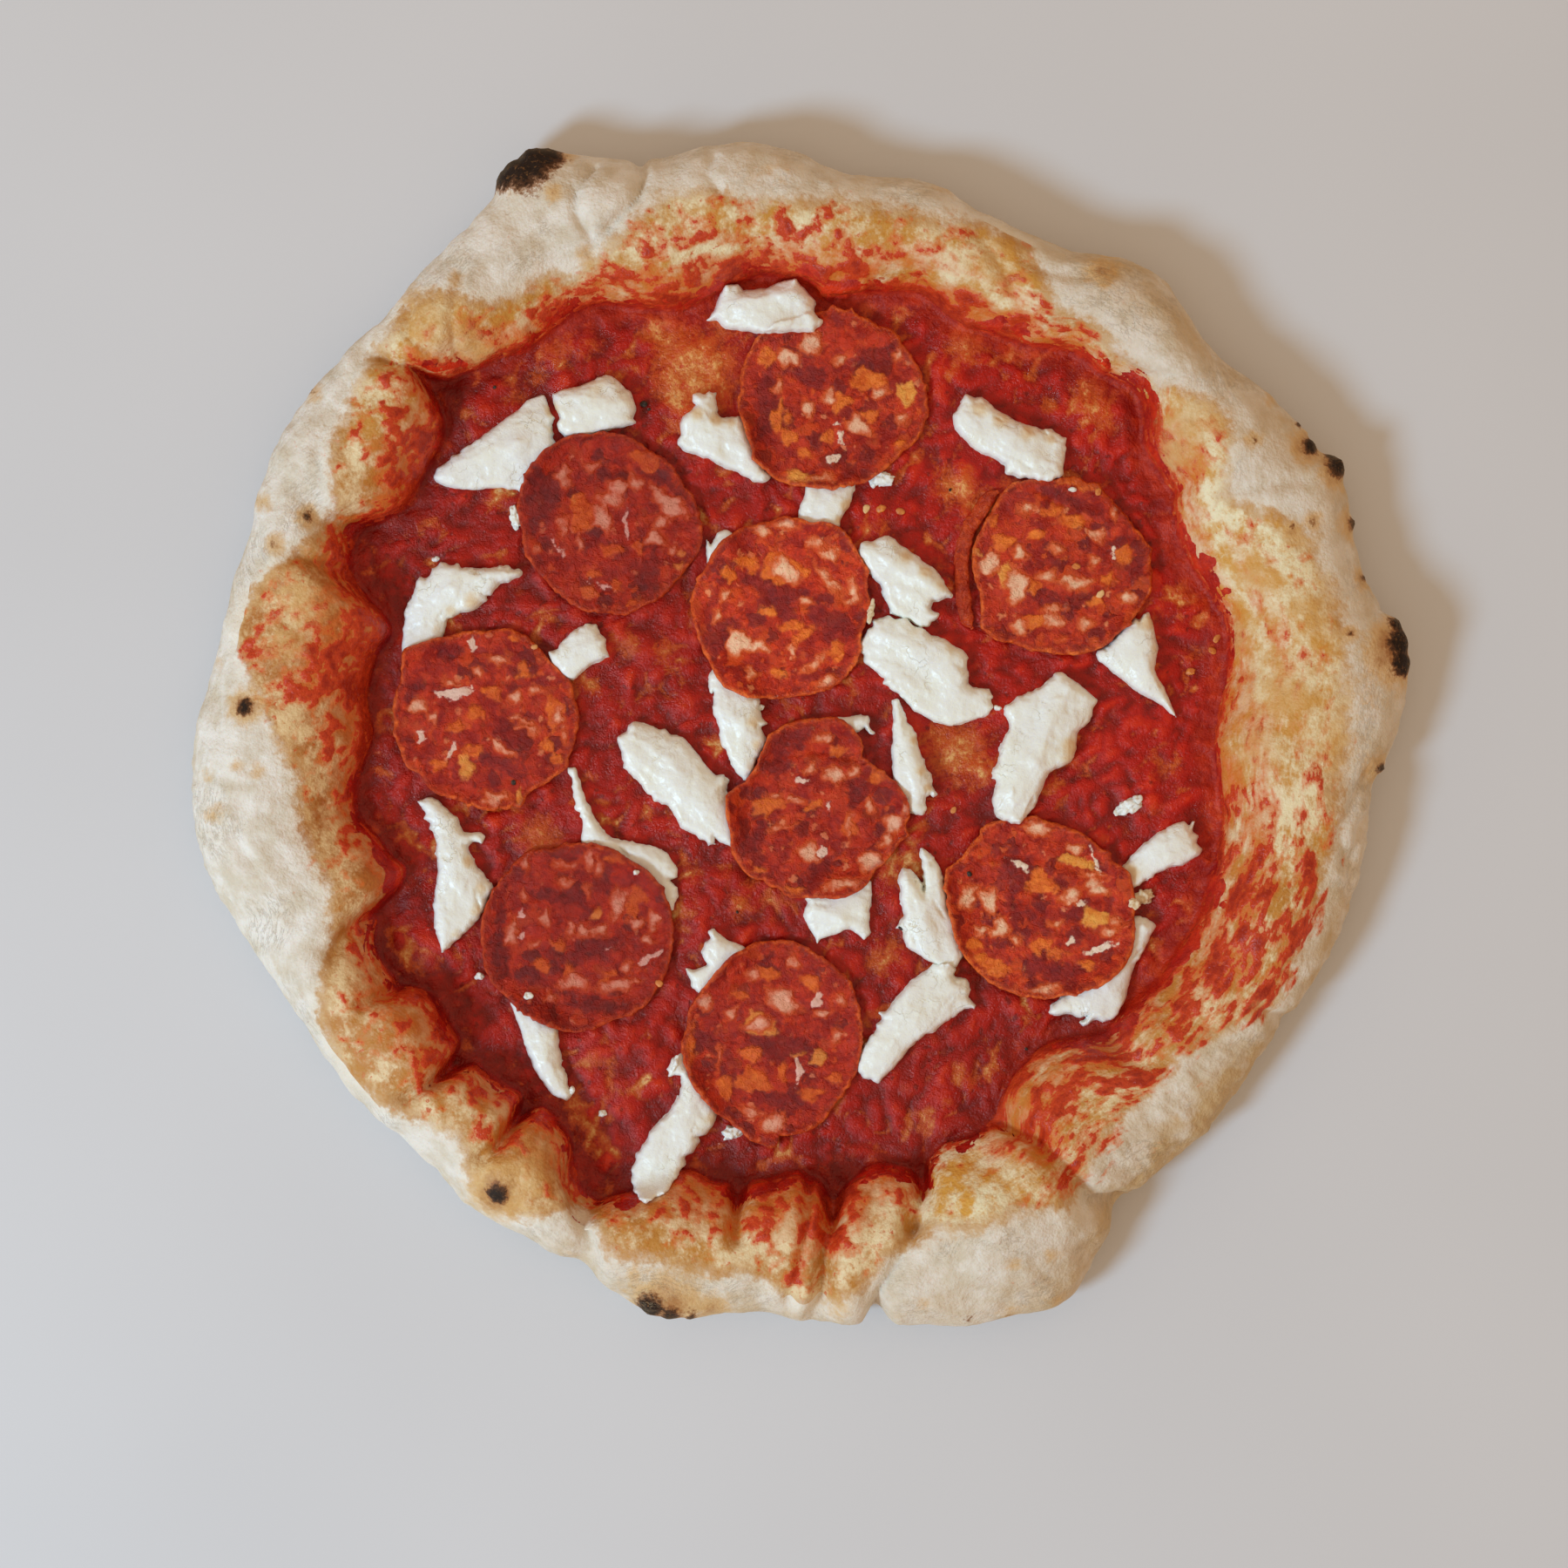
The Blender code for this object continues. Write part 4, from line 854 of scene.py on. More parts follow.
def net(field, corner, cell):
    """A closed mesh round the places where field is positive: (points, quads)."""
    full = field > 0
    shape = tuple(n - 1 for n in field.shape)
    count = np.zeros(shape, np.int8)
    for i in (0, 1):
        for j in (0, 1):
            for k in (0, 1):
                count += full[i:i + shape[0], j:j + shape[1], k:k + shape[2]]
    cells = np.argwhere((count > 0) & (count < 8))
    number = np.full(shape, -1, np.int64)
    number[tuple(cells.T)] = np.arange(len(cells))
    total = np.zeros((len(cells), 3))
    hits = np.zeros(len(cells))
    unit = np.eye(3, dtype=int)
    for axis in range(3):
        u, v = [k for k in range(3) if k != axis]
        for du in (0, 1):
            for dv in (0, 1):
                low = cells + du * unit[u] + dv * unit[v]
                high = low + unit[axis]
                f0, f1 = field[tuple(low.T)], field[tuple(high.T)]
                cross = (f0 > 0) != (f1 > 0)
                t = np.where(cross, f0 / np.where(cross, f0 - f1, 1), 0)
                total += cross[:, None] * (low + t[:, None] * unit[axis])
                hits += cross
    points = corner + cell * total / hits[:, None]
    quads = []
    for axis in range(3):
        u, v = (axis + 1) % 3, (axis + 2) % 3
        a = np.take(field, range(field.shape[axis] - 1), axis)
        b = np.take(field, range(1, field.shape[axis]), axis)
        where = np.argwhere((a > 0) != (b > 0))
        keep = (where[:, u] > 0) & (where[:, v] > 0) & (where[:, u] < shape[u]) & (where[:, v] < shape[v])
        where = where[keep]
        out = a[tuple(where.T)] > 0
        four = [number[tuple((where - du * unit[u] - dv * unit[v]).T)]
                for du, dv in ((1, 1), (0, 1), (0, 0), (1, 0))]
        four = np.stack(four, -1)
        four[~out] = four[~out][:, ::-1]
        quads.append(four)
    quads = np.concatenate(quads)
    # Only the largest connected body is kept.
    label = np.arange(len(points))
    while True:
        before = label.copy()
        low = label[quads].min(1)
        for k in range(4):
            np.minimum.at(label, quads[:, k], low)
        label = label[label]
        if (label == before).all():
            break
    names, sizes = np.unique(label, return_counts=True)
    kept = label == names[sizes.argmax()]
    renumber = np.cumsum(kept) - 1
    quads = renumber[quads[kept[quads[:, 0]]]]
    return points[kept], quads


def chunk_shape(key, outline, ridge, x, y):
    """Distance inside the torn outline and the chunk's thickness at x, y."""
    thick = MOZZARELLA[key][0]
    seed = 100 + int(key) * 3
    z0 = np.zeros_like(x)
    # Part of the border is cut smooth and part is torn into small teeth.
    torn = step(noise(x / 9.0 + seed, y / 9.0, z0 + 0.3), -0.35, 0.25)
    wx = x + (0.16 + 0.34 * torn) * fbm(x, y, z0, 2.2, 3, seed, 0.6)
    wy = y + (0.16 + 0.34 * torn) * fbm(x, y, z0, 2.2, 3, seed + 1, 0.6)
    d, _ = outline_distance(wx, wy, outline)
    h = 0.3
    ex = outline_distance(wx + h, wy, outline)[0] - d
    ey = outline_distance(wx, wy + h, outline)[0] - d
    # The sides that face up and right are longer slopes than the others.
    north_east = -(ex * 0.62 + ey * 0.78) / h
    width = 1.5 + 1.7 * step(north_east, -0.3, 0.9)
    width = blur(width, 3)
    e = np.clip(d / width, 0, 1)
    shoulder = np.sqrt(np.clip(1 - (1 - e) ** 2, 0, 1))
    dr, _ = near_line(x, y, ridge)
    crest = np.clip(1 - dr / 7.5, 0, 1)
    # Flat torn faces that meet in low, sharp edges: the lowest of a few tilted planes.
    mx, my = (sum(p[k] for p in outline) / len(outline) for k in (0, 1))
    pick = np.random.default_rng(seed)
    faces = np.full(np.shape(x), 1e9)
    for n in range(4):
        heading = 2 * math.pi * (n + pick.uniform(-0.3, 0.3)) / 4
        slope = pick.uniform(0.05, 0.17)
        lean = slope * ((x - mx) * math.cos(heading) + (y - my) * math.sin(heading))
        faces = np.minimum(faces, pick.uniform(0.15, 0.6) - lean)
    folds = 1 - 2.4 * np.abs(noise(wx / 8.0 + seed, wy / 8.0, z0 + 0.37 * seed))
    along = ridge[-1][0] - ridge[0][0], ridge[-1][1] - ridge[0][1]
    size = math.hypot(*along)
    ux, uy = along[0] / size, along[1] / size
    p, q = x * ux + y * uy, y * ux - x * uy
    fibre = fbm(p / 3.6, q, z0, 1.9, 2, seed + 2)
    # Short tears run in from the border along the grain.
    split = noise(p / 7.0 + seed, q / 1.5, z0 + 0.7 * seed)
    tear = step(split, 0.52, 0.72) * np.clip(1 - d / 5.0, 0, 1)
    # Torn layers: low steps across the top with ragged edges.
    layers = noise(p / 9.0 + 0.5 * seed, q / 4.5, z0 + 0.9 * seed) + 0.22 * fbm(x, y, z0, 1.8, 2, seed + 6)
    layers = step(layers, 0.02, 0.16) + step(layers, -0.5, -0.38)
    body = thick * (0.74 + 0.22 * crest) + np.clip(faces, -1.4, 0.8) + 0.16 * folds + 0.24 * (layers - 1)
    body = body + 0.07 * fbm(x, y, z0, 3.6, 2, seed + 4)
    body = np.maximum(body, 0.9) * (0.34 + 0.66 * shoulder) + 0.07 * fibre - 0.9 * tear
    return d, body


def build_chunk(key):
    thick, outline_px, ridge_px = MOZZARELLA[key]
    outline = plan_line(outline_px)
    ridge = plan_line(ridge_px)
    cell = 0.43
    xs = [p[0] for p in outline]
    ys = [p[1] for p in outline]
    ax = np.arange(min(xs) - 1.6, max(xs) + 1.6, cell)
    ay = np.arange(min(ys) - 1.6, max(ys) + 1.6, cell)
    gx, gy = np.meshgrid(ax, ay, indexing="ij")
    under = sample(ground, gx, gy)
    rest = sample(blur(ground, 3), gx, gy)
    # It lies on what is under it and bends over it only a little.
    floor = np.maximum(rest, under - 0.25)
    d, body = chunk_shape(key, outline, ridge, gx, gy)
    az = np.arange(floor[d > -1].min() - 1.3, (floor + body)[d > 0].max() + 1.4, cell)
    z = az[None, None, :]
    height = floor[..., None] + body[..., None] - z
    bottom = z - (under[..., None] - 0.45)
    shape = (len(ax), len(ay), len(az))
    x3, y3, z3 = (np.broadcast_to(v, shape) for v in (gx[..., None], gy[..., None], z))
    seed = 5 * int(key)
    rough = 0.18 * noise(x3 / 2.3 + seed, y3 / 2.3, z3 / 1.5) + 0.10 * noise(x3 / 1.1, y3 / 1.1 + seed, z3 / 0.9)
    # The side walls bulge a little below the shoulder.
    lift = np.clip((z - floor[..., None]) / np.maximum(body[..., None], 0.5), 0, 1.2)
    side = d[..., None] + 0.35 * np.sin(np.pi * np.clip(lift, 0, 1)) - 0.25 + rough
    field = np.minimum(np.minimum(side, height * 0.9 + rough * 0.35), bottom)
    field[[0, -1]] = -1
    field[:, [0, -1]] = -1
    field[:, :, [0, -1]] = -1
    points, quads = net(field, np.array([ax[0], ay[0], az[0]]), cell)
    px, py = points[:, 0], points[:, 1]
    beige_and_shade = spots(px, py, BEIGE_AND_SHADE)
    height_in = points[:, 2] - sample(ground, px, py)
    edge = outline_distance(px, py, outline)[0]
    thing = make("mozzarella_chunk_" + key, points, [quads], {"beige_and_shade": beige_and_shade, "edge": edge, "height": height_in})
    # The map rises where the chunk lies.
    box = (map_x > ax[0]) & (map_x < ax[-1]) & (map_y > ay[0]) & (map_y < ay[-1])
    rows, cols = np.where(box.any(1))[0], np.where(box.any(0))[0]
    part = np.ix_(rows, cols)
    mx, my = map_x[part], map_y[part]
    u = np.clip((mx - ax[0]) / cell, 0, len(ax) - 1.001).astype(int)
    v = np.clip((my - ay[0]) / cell, 0, len(ay) - 1.001).astype(int)
    inside_piece = d[u, v] > 0.0
    ground[part] = np.where(inside_piece, np.maximum(ground[part], (floor + body)[u, v]), ground[part])
    return thing


chunks = {}
for key in MOZZARELLA:
    if key not in ("01", "05", "15"):
        chunks[key] = build_chunk(key)


# ------------------------------------------------------------------ the salami
# Each slice: centre, and its outline, both in plan units.
SALAMI = {
    "north": ((960, 455), (
        (960, 351), (985, 358), (1008, 370), (1028, 377), (1036, 393), (1054, 416), (1062, 440), (1066, 462),
        (1060, 492), (1053, 504), (1038, 516), (1022, 532), (1006, 544), (985, 555), (955, 559), (925, 557),
        (905, 555), (886, 545), (868, 529), (860, 505), (853, 485), (846, 463), (850, 446), (849, 428),
        (858, 405), (866, 388), (885, 372), (915, 362), (940, 356))),
    "north_west": ((700, 600), (
        (700, 497), (716, 498), (735, 507), (745, 515), (760, 523), (772, 532), (778, 545), (785, 556),
        (795, 568), (800, 580), (804, 595), (806, 610), (805, 622), (800, 635), (790, 648), (778, 662),
        (765, 680), (740, 692), (730, 700), (715, 706), (700, 704), (685, 702), (668, 700), (655, 692),
        (640, 680), (625, 665), (612, 650), (602, 635), (598, 615), (596, 600), (592, 580), (594, 570),
        (600, 550), (608, 535), (625, 515), (640, 505), (655, 498), (675, 497))),
    "east": ((1221, 647), (
        (1211, 548), (1235, 545), (1252, 553), (1275, 568), (1298, 596), (1312, 612), (1322, 627), (1324, 650),
        (1321, 682), (1308, 703), (1290, 722), (1264, 744), (1240, 750), (1205, 748), (1172, 740), (1146, 734),
        (1128, 721), (1127, 700), (1126, 678), (1118, 650), (1117, 630), (1128, 605), (1138, 588), (1146, 572),
        (1160, 556), (1185, 549))),
    "middle": ((898, 697), (
        (895, 593), (915, 594), (930, 598), (955, 600), (965, 605), (973, 612), (980, 620), (985, 632),
        (992, 645), (998, 655), (995, 665), (997, 680), (1000, 702), (995, 712), (990, 725), (988, 735),
        (990, 748), (985, 757), (972, 777), (962, 785), (935, 795), (915, 799), (900, 801), (880, 801),
        (860, 800), (845, 795), (830, 787), (815, 762), (808, 750), (803, 735), (797, 715), (792, 690),
        (795, 680), (800, 668), (798, 663), (808, 655), (820, 632), (830, 620), (845, 608), (862, 601), (880, 598))),
    "west": ((557, 826), (
        (500, 732), (520, 728), (535, 723), (555, 724), (575, 721), (585, 720), (600, 730), (612, 738),
        (628, 757), (640, 768), (655, 785), (658, 800), (664, 825), (661, 840), (658, 855), (652, 870),
        (645, 885), (635, 893), (625, 900), (612, 905), (603, 912), (600, 922), (595, 928), (590, 925),
        (570, 930), (560, 931), (540, 925), (530, 920), (510, 915), (500, 912), (490, 905), (480, 888),
        (465, 880), (458, 862), (452, 850), (450, 825), (448, 812), (452, 795), (457, 780), (460, 765),
        (461, 745), (475, 740), (490, 735))),
    "centre_south": ((940, 930), (
        (900, 832), (915, 827), (945, 823), (965, 825), (980, 836), (988, 850), (992, 858), (990, 868),
        (1005, 880), (1025, 895), (1040, 913), (1046, 930), (1040, 948), (1042, 958), (1033, 968), (1025, 980),
        (1005, 1000), (1000, 1010), (985, 1025), (970, 1031), (940, 1031), (910, 1030), (895, 1022), (875, 1012),
        (860, 1008), (845, 988), (840, 980), (838, 955), (833, 930), (835, 915), (845, 902), (855, 898),
        (868, 880), (876, 860), (882, 845))),
    "south_west": ((662, 1077), (
        (665, 968), (690, 970), (720, 985), (745, 1002), (762, 1025), (770, 1052), (773, 1068), (772, 1085),
        (765, 1115), (758, 1130), (740, 1155), (728, 1165), (700, 1173), (685, 1180), (660, 1186), (630, 1180),
        (605, 1168), (585, 1150), (565, 1132), (557, 1118), (552, 1090), (550, 1075), (555, 1045), (565, 1022),
        (580, 1002), (595, 985), (605, 978), (635, 975), (650, 969))),
    "south_east": ((1197, 1040), (
        (1170, 940), (1185, 938), (1210, 945), (1235, 952), (1255, 965), (1280, 990), (1290, 995), (1298, 1003),
        (1305, 1040), (1304, 1060), (1300, 1095), (1285, 1118), (1262, 1133), (1230, 1142), (1200, 1148),
        (1165, 1142), (1140, 1130), (1118, 1110), (1102, 1090), (1093, 1060), (1088, 1030), (1085, 1010),
        (1088, 998), (1105, 985), (1125, 960), (1128, 950), (1148, 942))),
    "south": ((889, 1192), (
        (850, 1092), (865, 1085), (895, 1080), (910, 1082), (940, 1097), (960, 1112), (978, 1130), (985, 1155),
        (991, 1195), (988, 1210), (980, 1240), (962, 1265), (945, 1290), (920, 1303), (893, 1306), (893, 1318),
        (865, 1314), (850, 1300), (835, 1288), (815, 1272), (800, 1255), (788, 1232), (783, 1208), (788, 1180),
        (790, 1160), (800, 1145), (812, 1130), (830, 1108), (840, 1098))),
}

# What shows in the cut face: kind, plan x, plan y, half-width, half-height, turn
# in degrees (anticlockwise). Kinds: P pale fat, O orange fat, Y yellow fat,
# W white streaks, D dark smooth meat, H small holes.
FLECKS = {
    "north": (
        "P 932 391 14 10 20;P 905 408 12 10 -20;O 880 407 9 11 0;P 1033 405 6 8 0;Y 1040 449 11 13 0;P 1012 448 7 7 0;"
        "O 997 435 20 12 10;P 952 455 6 8 0;P 929 468 7 8 0;O 965 460 12 10 0;P 987 487 13 10 -15;O 893 478 9 15 0;"
        "O 906 477 5 9 0;O 907 500 9 9 0;W 961 484 3 3 0;W 965 498 3 6 0;W 956 524 7 7 0;Y 918 547 17 8 -5;"
        "P 945 546 12 6 0;O 1000 475 10 8 0;O 1035 510 8 6 0;D 1005 410 25 14 0;D 930 430 20 10 0;D 880 460 10 45 0;"
        "D 975 535 12 6 0;P 966 410 8 5 30;O 950 500 9 6 0;P 1035 478 6 8 20;O 925 520 8 6 0;P 893 440 5 8 0"),
    "north_west": (
        "P 646 545 9 10 0;P 678 533 8 4 15;O 668 590 18 22 0;P 700 570 14 9 -10;P 690 592 10 16 10;P 708 557 14 8 0;"
        "P 728 552 7 8 0;O 742 527 16 12 -30;P 767 577 24 11 -35;P 757 597 8 8 0;P 753 617 10 8 0;W 719 600 2.6 16 0;"
        "P 645 600 5 11 0;W 642 630 2.4 14 30;P 615 630 4 5 0;W 688 670 13 2.4 -15;O 680 658 8 6 0;O 675 680 10 8 0;"
        "O 707 672 6 8 0;O 733 628 8 8 0;P 773 630 6 5 0;Y 783 633 5 3 0;Y 780 647 6 6 0;D 620 565 20 35 0;"
        "D 745 655 30 10 30;D 760 550 15 6 0;Y 658 572 3 3 0;O 700 630 12 8 0;P 664 622 5 7 0;O 728 690 10 5 20"),
    "east": (
        "O 1141 597 7 7 0;P 1180 583 8 5 0;O 1225 550 12 6 0;O 1210 585 12 8 0;O 1232 597 14 8 0;O 1152 621 12 11 0;"
        "P 1171 634 8 8 0;P 1138 647 12 11 0;Y 1155 658 8 14 0;P 1168 672 13 18 0;Y 1120 632 6 5 0;P 1205 660 12 5 0;"
        "P 1237 668 16 9 0;O 1188 672 8 8 0;P 1210 697 10 4 0;P 1172 718 10 8 0;O 1190 712 14 9 0;P 1212 712 12 8 0;"
        "O 1293 635 9 11 0;W 1280 634 3 8 0;P 1257 643 6 7 0;P 1295 685 8 8 0;P 1282 588 4 6 0;D 1200 685 20 12 0;"
        "D 1235 690 16 8 0;D 1225 570 35 8 0;D 1305 650 10 10 0;O 1248 555 20 7 -15;P 1250 715 9 6 20;O 1262 690 9 7 0;"
        "P 1262 612 8 6 0;O 1190 612 9 7 0;P 1213 628 7 5 0;O 1272 662 8 6 0"),
    "middle": (
        "P 903 600 14 6 0;P 875 608 8 8 0;P 937 622 9 5 -15;P 953 635 11 8 -25;O 860 645 16 8 0;O 898 652 22 17 -20;"
        "P 900 653 19 12 -25;P 952 666 19 5 -52;P 980 675 6 12 0;P 832 682 4 6 0;O 880 702 8 6 0;O 910 717 14 6 0;"
        "P 975 690 5 4 0;P 848 738 15 14 0;P 872 742 10 8 0;P 910 745 6 6 0;P 933 761 14 3.5 35;P 862 773 6 6 0;"
        "P 950 782 12 6 10;D 890 680 35 20 0;D 825 730 20 25 0;D 955 715 15 30 0;O 920 730 20 4 40;O 838 660 8 10 0;"
        "P 822 706 5 7 0;O 895 772 10 6 0;O 960 748 8 10 0;P 925 690 6 5 0"),
    "west": (
        "W 541 737 5 10 0;W 521 795 18 7 10;P 515 783 10 4 0;P 478 810 10 8 0;P 495 823 6 6 0;W 481 846 5 7 0;"
        "O 545 817 10 8 0;O 520 835 10 7 0;O 563 795 12 8 0;W 516 862 2.6 10 -25;P 600 827 12 3 -20;P 607 838 12 4 -20;"
        "P 575 860 12 5 -35;O 636 820 12 16 0;P 640 822 6 10 0;P 647 843 4 8 0;O 540 862 12 8 0;Y 533 880 8 14 0;"
        "O 627 855 8 10 0;O 638 872 8 6 0;P 567 917 13 8 10;Y 596 917 5 9 0;O 590 730 8 6 0;D 510 745 15 10 0;"
        "D 590 840 25 20 0;D 580 880 20 10 0;D 470 800 10 15 0;P 570 757 9 6 -20;O 600 770 9 7 0;P 590 800 6 8 0;"
        "P 547 770 6 5 0;O 500 880 9 6 0;P 612 790 6 5 0"),
    "centre_south": (
        "P 928 883 8 4 10;W 921 898 8 5 0;P 958 890 14 8 -10;P 980 885 5 7 0;P 890 912 8 3 0;O 880 925 16 12 0;"
        "P 912 918 10 3 0;O 935 925 9 7 0;W 951 925 2 6 0;P 898 950 12 3 10;O 975 950 7 14 0;P 975 950 3.5 11 0;"
        "P 1027 945 10 12 0;P 1040 930 6 6 0;P 1018 965 6 10 0;P 930 980 14 10 0;W 945 977 5 8 0;P 1000 990 14 11 20;"
        "P 970 1015 18 7 5;O 910 1023 16 6 0;O 1008 890 8 10 0;D 905 850 25 12 0;D 890 880 20 10 0;D 985 905 12 18 0;"
        "D 940 1000 30 10 0;D 865 970 15 25 0;P 945 848 10 5 0;O 962 862 8 6 0;P 1000 925 6 8 0;O 870 1000 8 5 0"),
    "south_west": (
        "P 675 985 5 10 0;P 650 993 12 4 0;P 687 995 4 10 0;O 707 985 10 8 0;P 602 990 4 10 0;P 648 1013 8 5 0;"
        "P 600 1029 5 6 0;W 597 1050 3 7 0;P 674 1022 4 6 0;P 708 1038 10 17 0;O 731 1030 10 10 0;O 725 1045 8 10 0;"
        "P 728 1060 8 7 0;P 750 1057 9 8 0;Y 684 1049 6 7 0;P 687 1069 10 6 0;P 654 1068 5 8 0;P 668 1068 6 9 0;"
        "P 586 1075 7 14 0;W 597 1078 3 6 0;W 697 1092 3 3 0;W 744 1101 14 3 38;P 718 1112 8 8 0;O 700 1118 6 4 0;"
        "O 652 1113 6 8 0;P 657 1128 16 9 5;O 692 1130 8 7 0;P 708 1133 20 7 10;D 690 1015 14 12 0;D 655 1030 20 15 0;"
        "D 670 1090 40 12 0;D 690 1155 50 8 10;D 570 1080 10 30 0;P 625 1055 6 8 0;O 620 1110 9 7 0;P 630 1145 8 5 -20;"
        "P 744 1078 6 5 0;O 640 1085 8 6 0;P 612 1085 5 5 0"),
    "south_east": (
        "P 1193 950 18 9 0;P 1235 975 8 7 0;W 1259 987 2.6 14 24;Y 1240 990 20 6 -15;W 1172 993 13 2.6 -20;"
        "P 1255 1005 12 4 -10;P 1262 1020 14 8 -10;P 1112 1030 9 14 0;P 1137 1035 10 14 0;P 1124 1018 3 4 0;"
        "O 1195 1015 16 14 0;P 1230 1030 14 8 0;W 1242 1038 6 4 0;Y 1260 1055 18 10 0;P 1150 1065 10 12 0;"
        "P 1168 1080 6 4 0;O 1195 1085 12 8 0;O 1215 1095 12 6 0;W 1232 1083 5 4 0;W 1265 1090 18 4 20;"
        "P 1275 1070 8 6 0;P 1280 1060 4 4 0;P 1200 1138 16 5 0;O 1140 1110 20 10 -20;D 1165 1005 20 15 0;"
        "D 1180 1050 20 8 0;D 1210 1115 40 8 0;D 1240 1050 12 12 0;D 1275 1035 5 12 0;H 1183 1019 4 3 0;H 1178 1037 3 3 0;"
        "P 1128 1068 6 7 0;O 1120 1085 8 8 0;P 1215 1062 7 5 0;O 1250 1110 10 6 0"),
    "south": (
        "P 865 1120 8 6 0;O 880 1120 12 8 0;P 898 1151 22 12 -25;W 938 1148 5 10 0;O 932 1128 12 8 0;P 942 1165 8 5 0;"
        "Y 872 1178 19 13 0;P 872 1178 15 9 0;O 862 1212 12 8 0;P 825 1215 3 10 0;O 865 1242 18 14 0;O 898 1232 6 10 0;"
        "Y 915 1212 5 3 0;W 917 1230 4 12 0;Y 940 1215 8 9 0;O 832 1250 10 12 0;O 933 1258 14 6 0;P 860 1278 12 4 -10;"
        "P 888 1292 14 9 0;P 808 1150 8 10 0;D 900 1200 40 15 0;D 815 1200 8 40 0;D 900 1265 30 8 0;O 792 1200 5 30 0;"
        "P 962 1190 6 9 0;O 958 1240 8 6 0;P 840 1165 7 6 0;O 850 1145 8 6 0;P 912 1108 8 5 -20;P 965 1150 6 7 0"),
}
# Some slices are darker than others.
TINTS = {"north": 1.14, "north_west": 0.88, "east": 1.16, "middle": 1.28, "west": 1.07, "centre_south": 1.08,
         "south_west": 0.87, "south_east": 1.19, "south": 1.03}
# Creases where a slice steps over what is under it: plan points, width, drop in mm.
CREASES = {
    "centre_south": ((((880, 872), (920, 862), (952, 862), (988, 872)), 1.1, 0.55),),
    "south_east": ((((1130, 986), (1165, 982), (1200, 988), (1238, 999)), 1.0, 0.5),),
    "east": ((((1190, 560), (1215, 575), (1262, 580)), 1.0, 0.35),),
    "west": ((((470, 760), (505, 752), (545, 748)), 1.0, 0.35),),
    "south": ((((800, 1140), (830, 1128), (850, 1100)), 1.0, 0.4),),
}
# Tufts and threads of casing that stand out of the edge: heading in degrees
# (anticlockwise from the right), length in mm, half-width in degrees.
TUFTS = {
    "north": ((92, 1.3, 2.2), (80, 1.0, 2.6), (350, 0.9, 2.5), (8, 0.8, 1.6), (216, 1.1, 1.8), (44, 0.7, 2), (268, 0.8, 3)),
    "north_west": ((95, 0.8, 5), (20, 0.6, 2), (200, 0.6, 2), (300, 0.7, 2.5), (150, 0.7, 2)),
    "east": ((66, 1.4, 5), (10, 0.7, 2), (250, 0.8, 3), (318, 0.9, 2), (120, 0.7, 2)),
    "middle": ((88, 0.7, 3), (355, 0.8, 2), (200, 0.7, 2.4), (140, 0.6, 2), (300, 0.7, 2)),
    "west": ((258, 1.2, 1.6), (64, 0.8, 3), (188, 0.7, 2), (330, 0.6, 2)),
    "centre_south": ((344, 1.0, 2), (20, 0.7, 2), (60, 0.6, 2), (250, 0.7, 3), (170, 0.7, 2)),
    "south_west": ((98, 0.7, 3), (30, 0.8, 2), (230, 0.7, 2), (280, 0.6, 2.5), (150, 0.6, 1.6)),
    "south_east": ((38, 1.5, 2.6), (95, 0.8, 3), (170, 0.8, 2), (290, 0.7, 2)),
    "south": ((268, 1.0, 2.2), (184, 0.8, 6), (20, 0.7, 2), (100, 0.6, 3), (320, 0.8, 2)),
}


def membrane(rough, passes=70):
    """A sheet that lies on rough ground: as low as bending allows."""
    sheet = blur(rough, 4) + 0.4
    for _ in range(passes):
        sheet = np.maximum(rough, blur(sheet, 1) - 0.02)
    return blur(sheet, 1)


def fleck_fields(key, x, y):
    """Signed distances in mm (positive inside) to the nearest fleck of every kind."""
    fields = {kind: np.full(np.shape(x), -6.0) for kind in "POYWDH"}
    for n, entry in enumerate(FLECKS[key].split(";")):
        kind, px, py, half_w, half_h, turn = entry.split()
        cx, cy = plan(float(px), float(py))
        w, h, t = float(half_w) * UNIT, float(half_h) * UNIT, math.radians(float(turn))
        if kind == "D":
            t += 0.7 * math.cos(2.1 * n)
        dx, dy = x - cx, y - cy
        p = (dx * math.cos(t) + dy * math.sin(t)) / w
        q = (-dx * math.sin(t) + dy * math.cos(t)) / h
        # No piece is round: each has corners and flats of its own.
        way = np.arctan2(q, p)
        corners = 0.13 * np.cos(3 * way + 1.7 * n) + 0.10 * np.cos(2 * way + 2.9 * n) + 0.07 * np.cos(5 * way + 4.3 * n)
        reach = np.hypot(p, q) * (1 + corners * (2.0 if kind == "D" else 1.0))
        fields[kind] = np.maximum(fields[kind], (1 - reach) * min(w, h))
    return fields


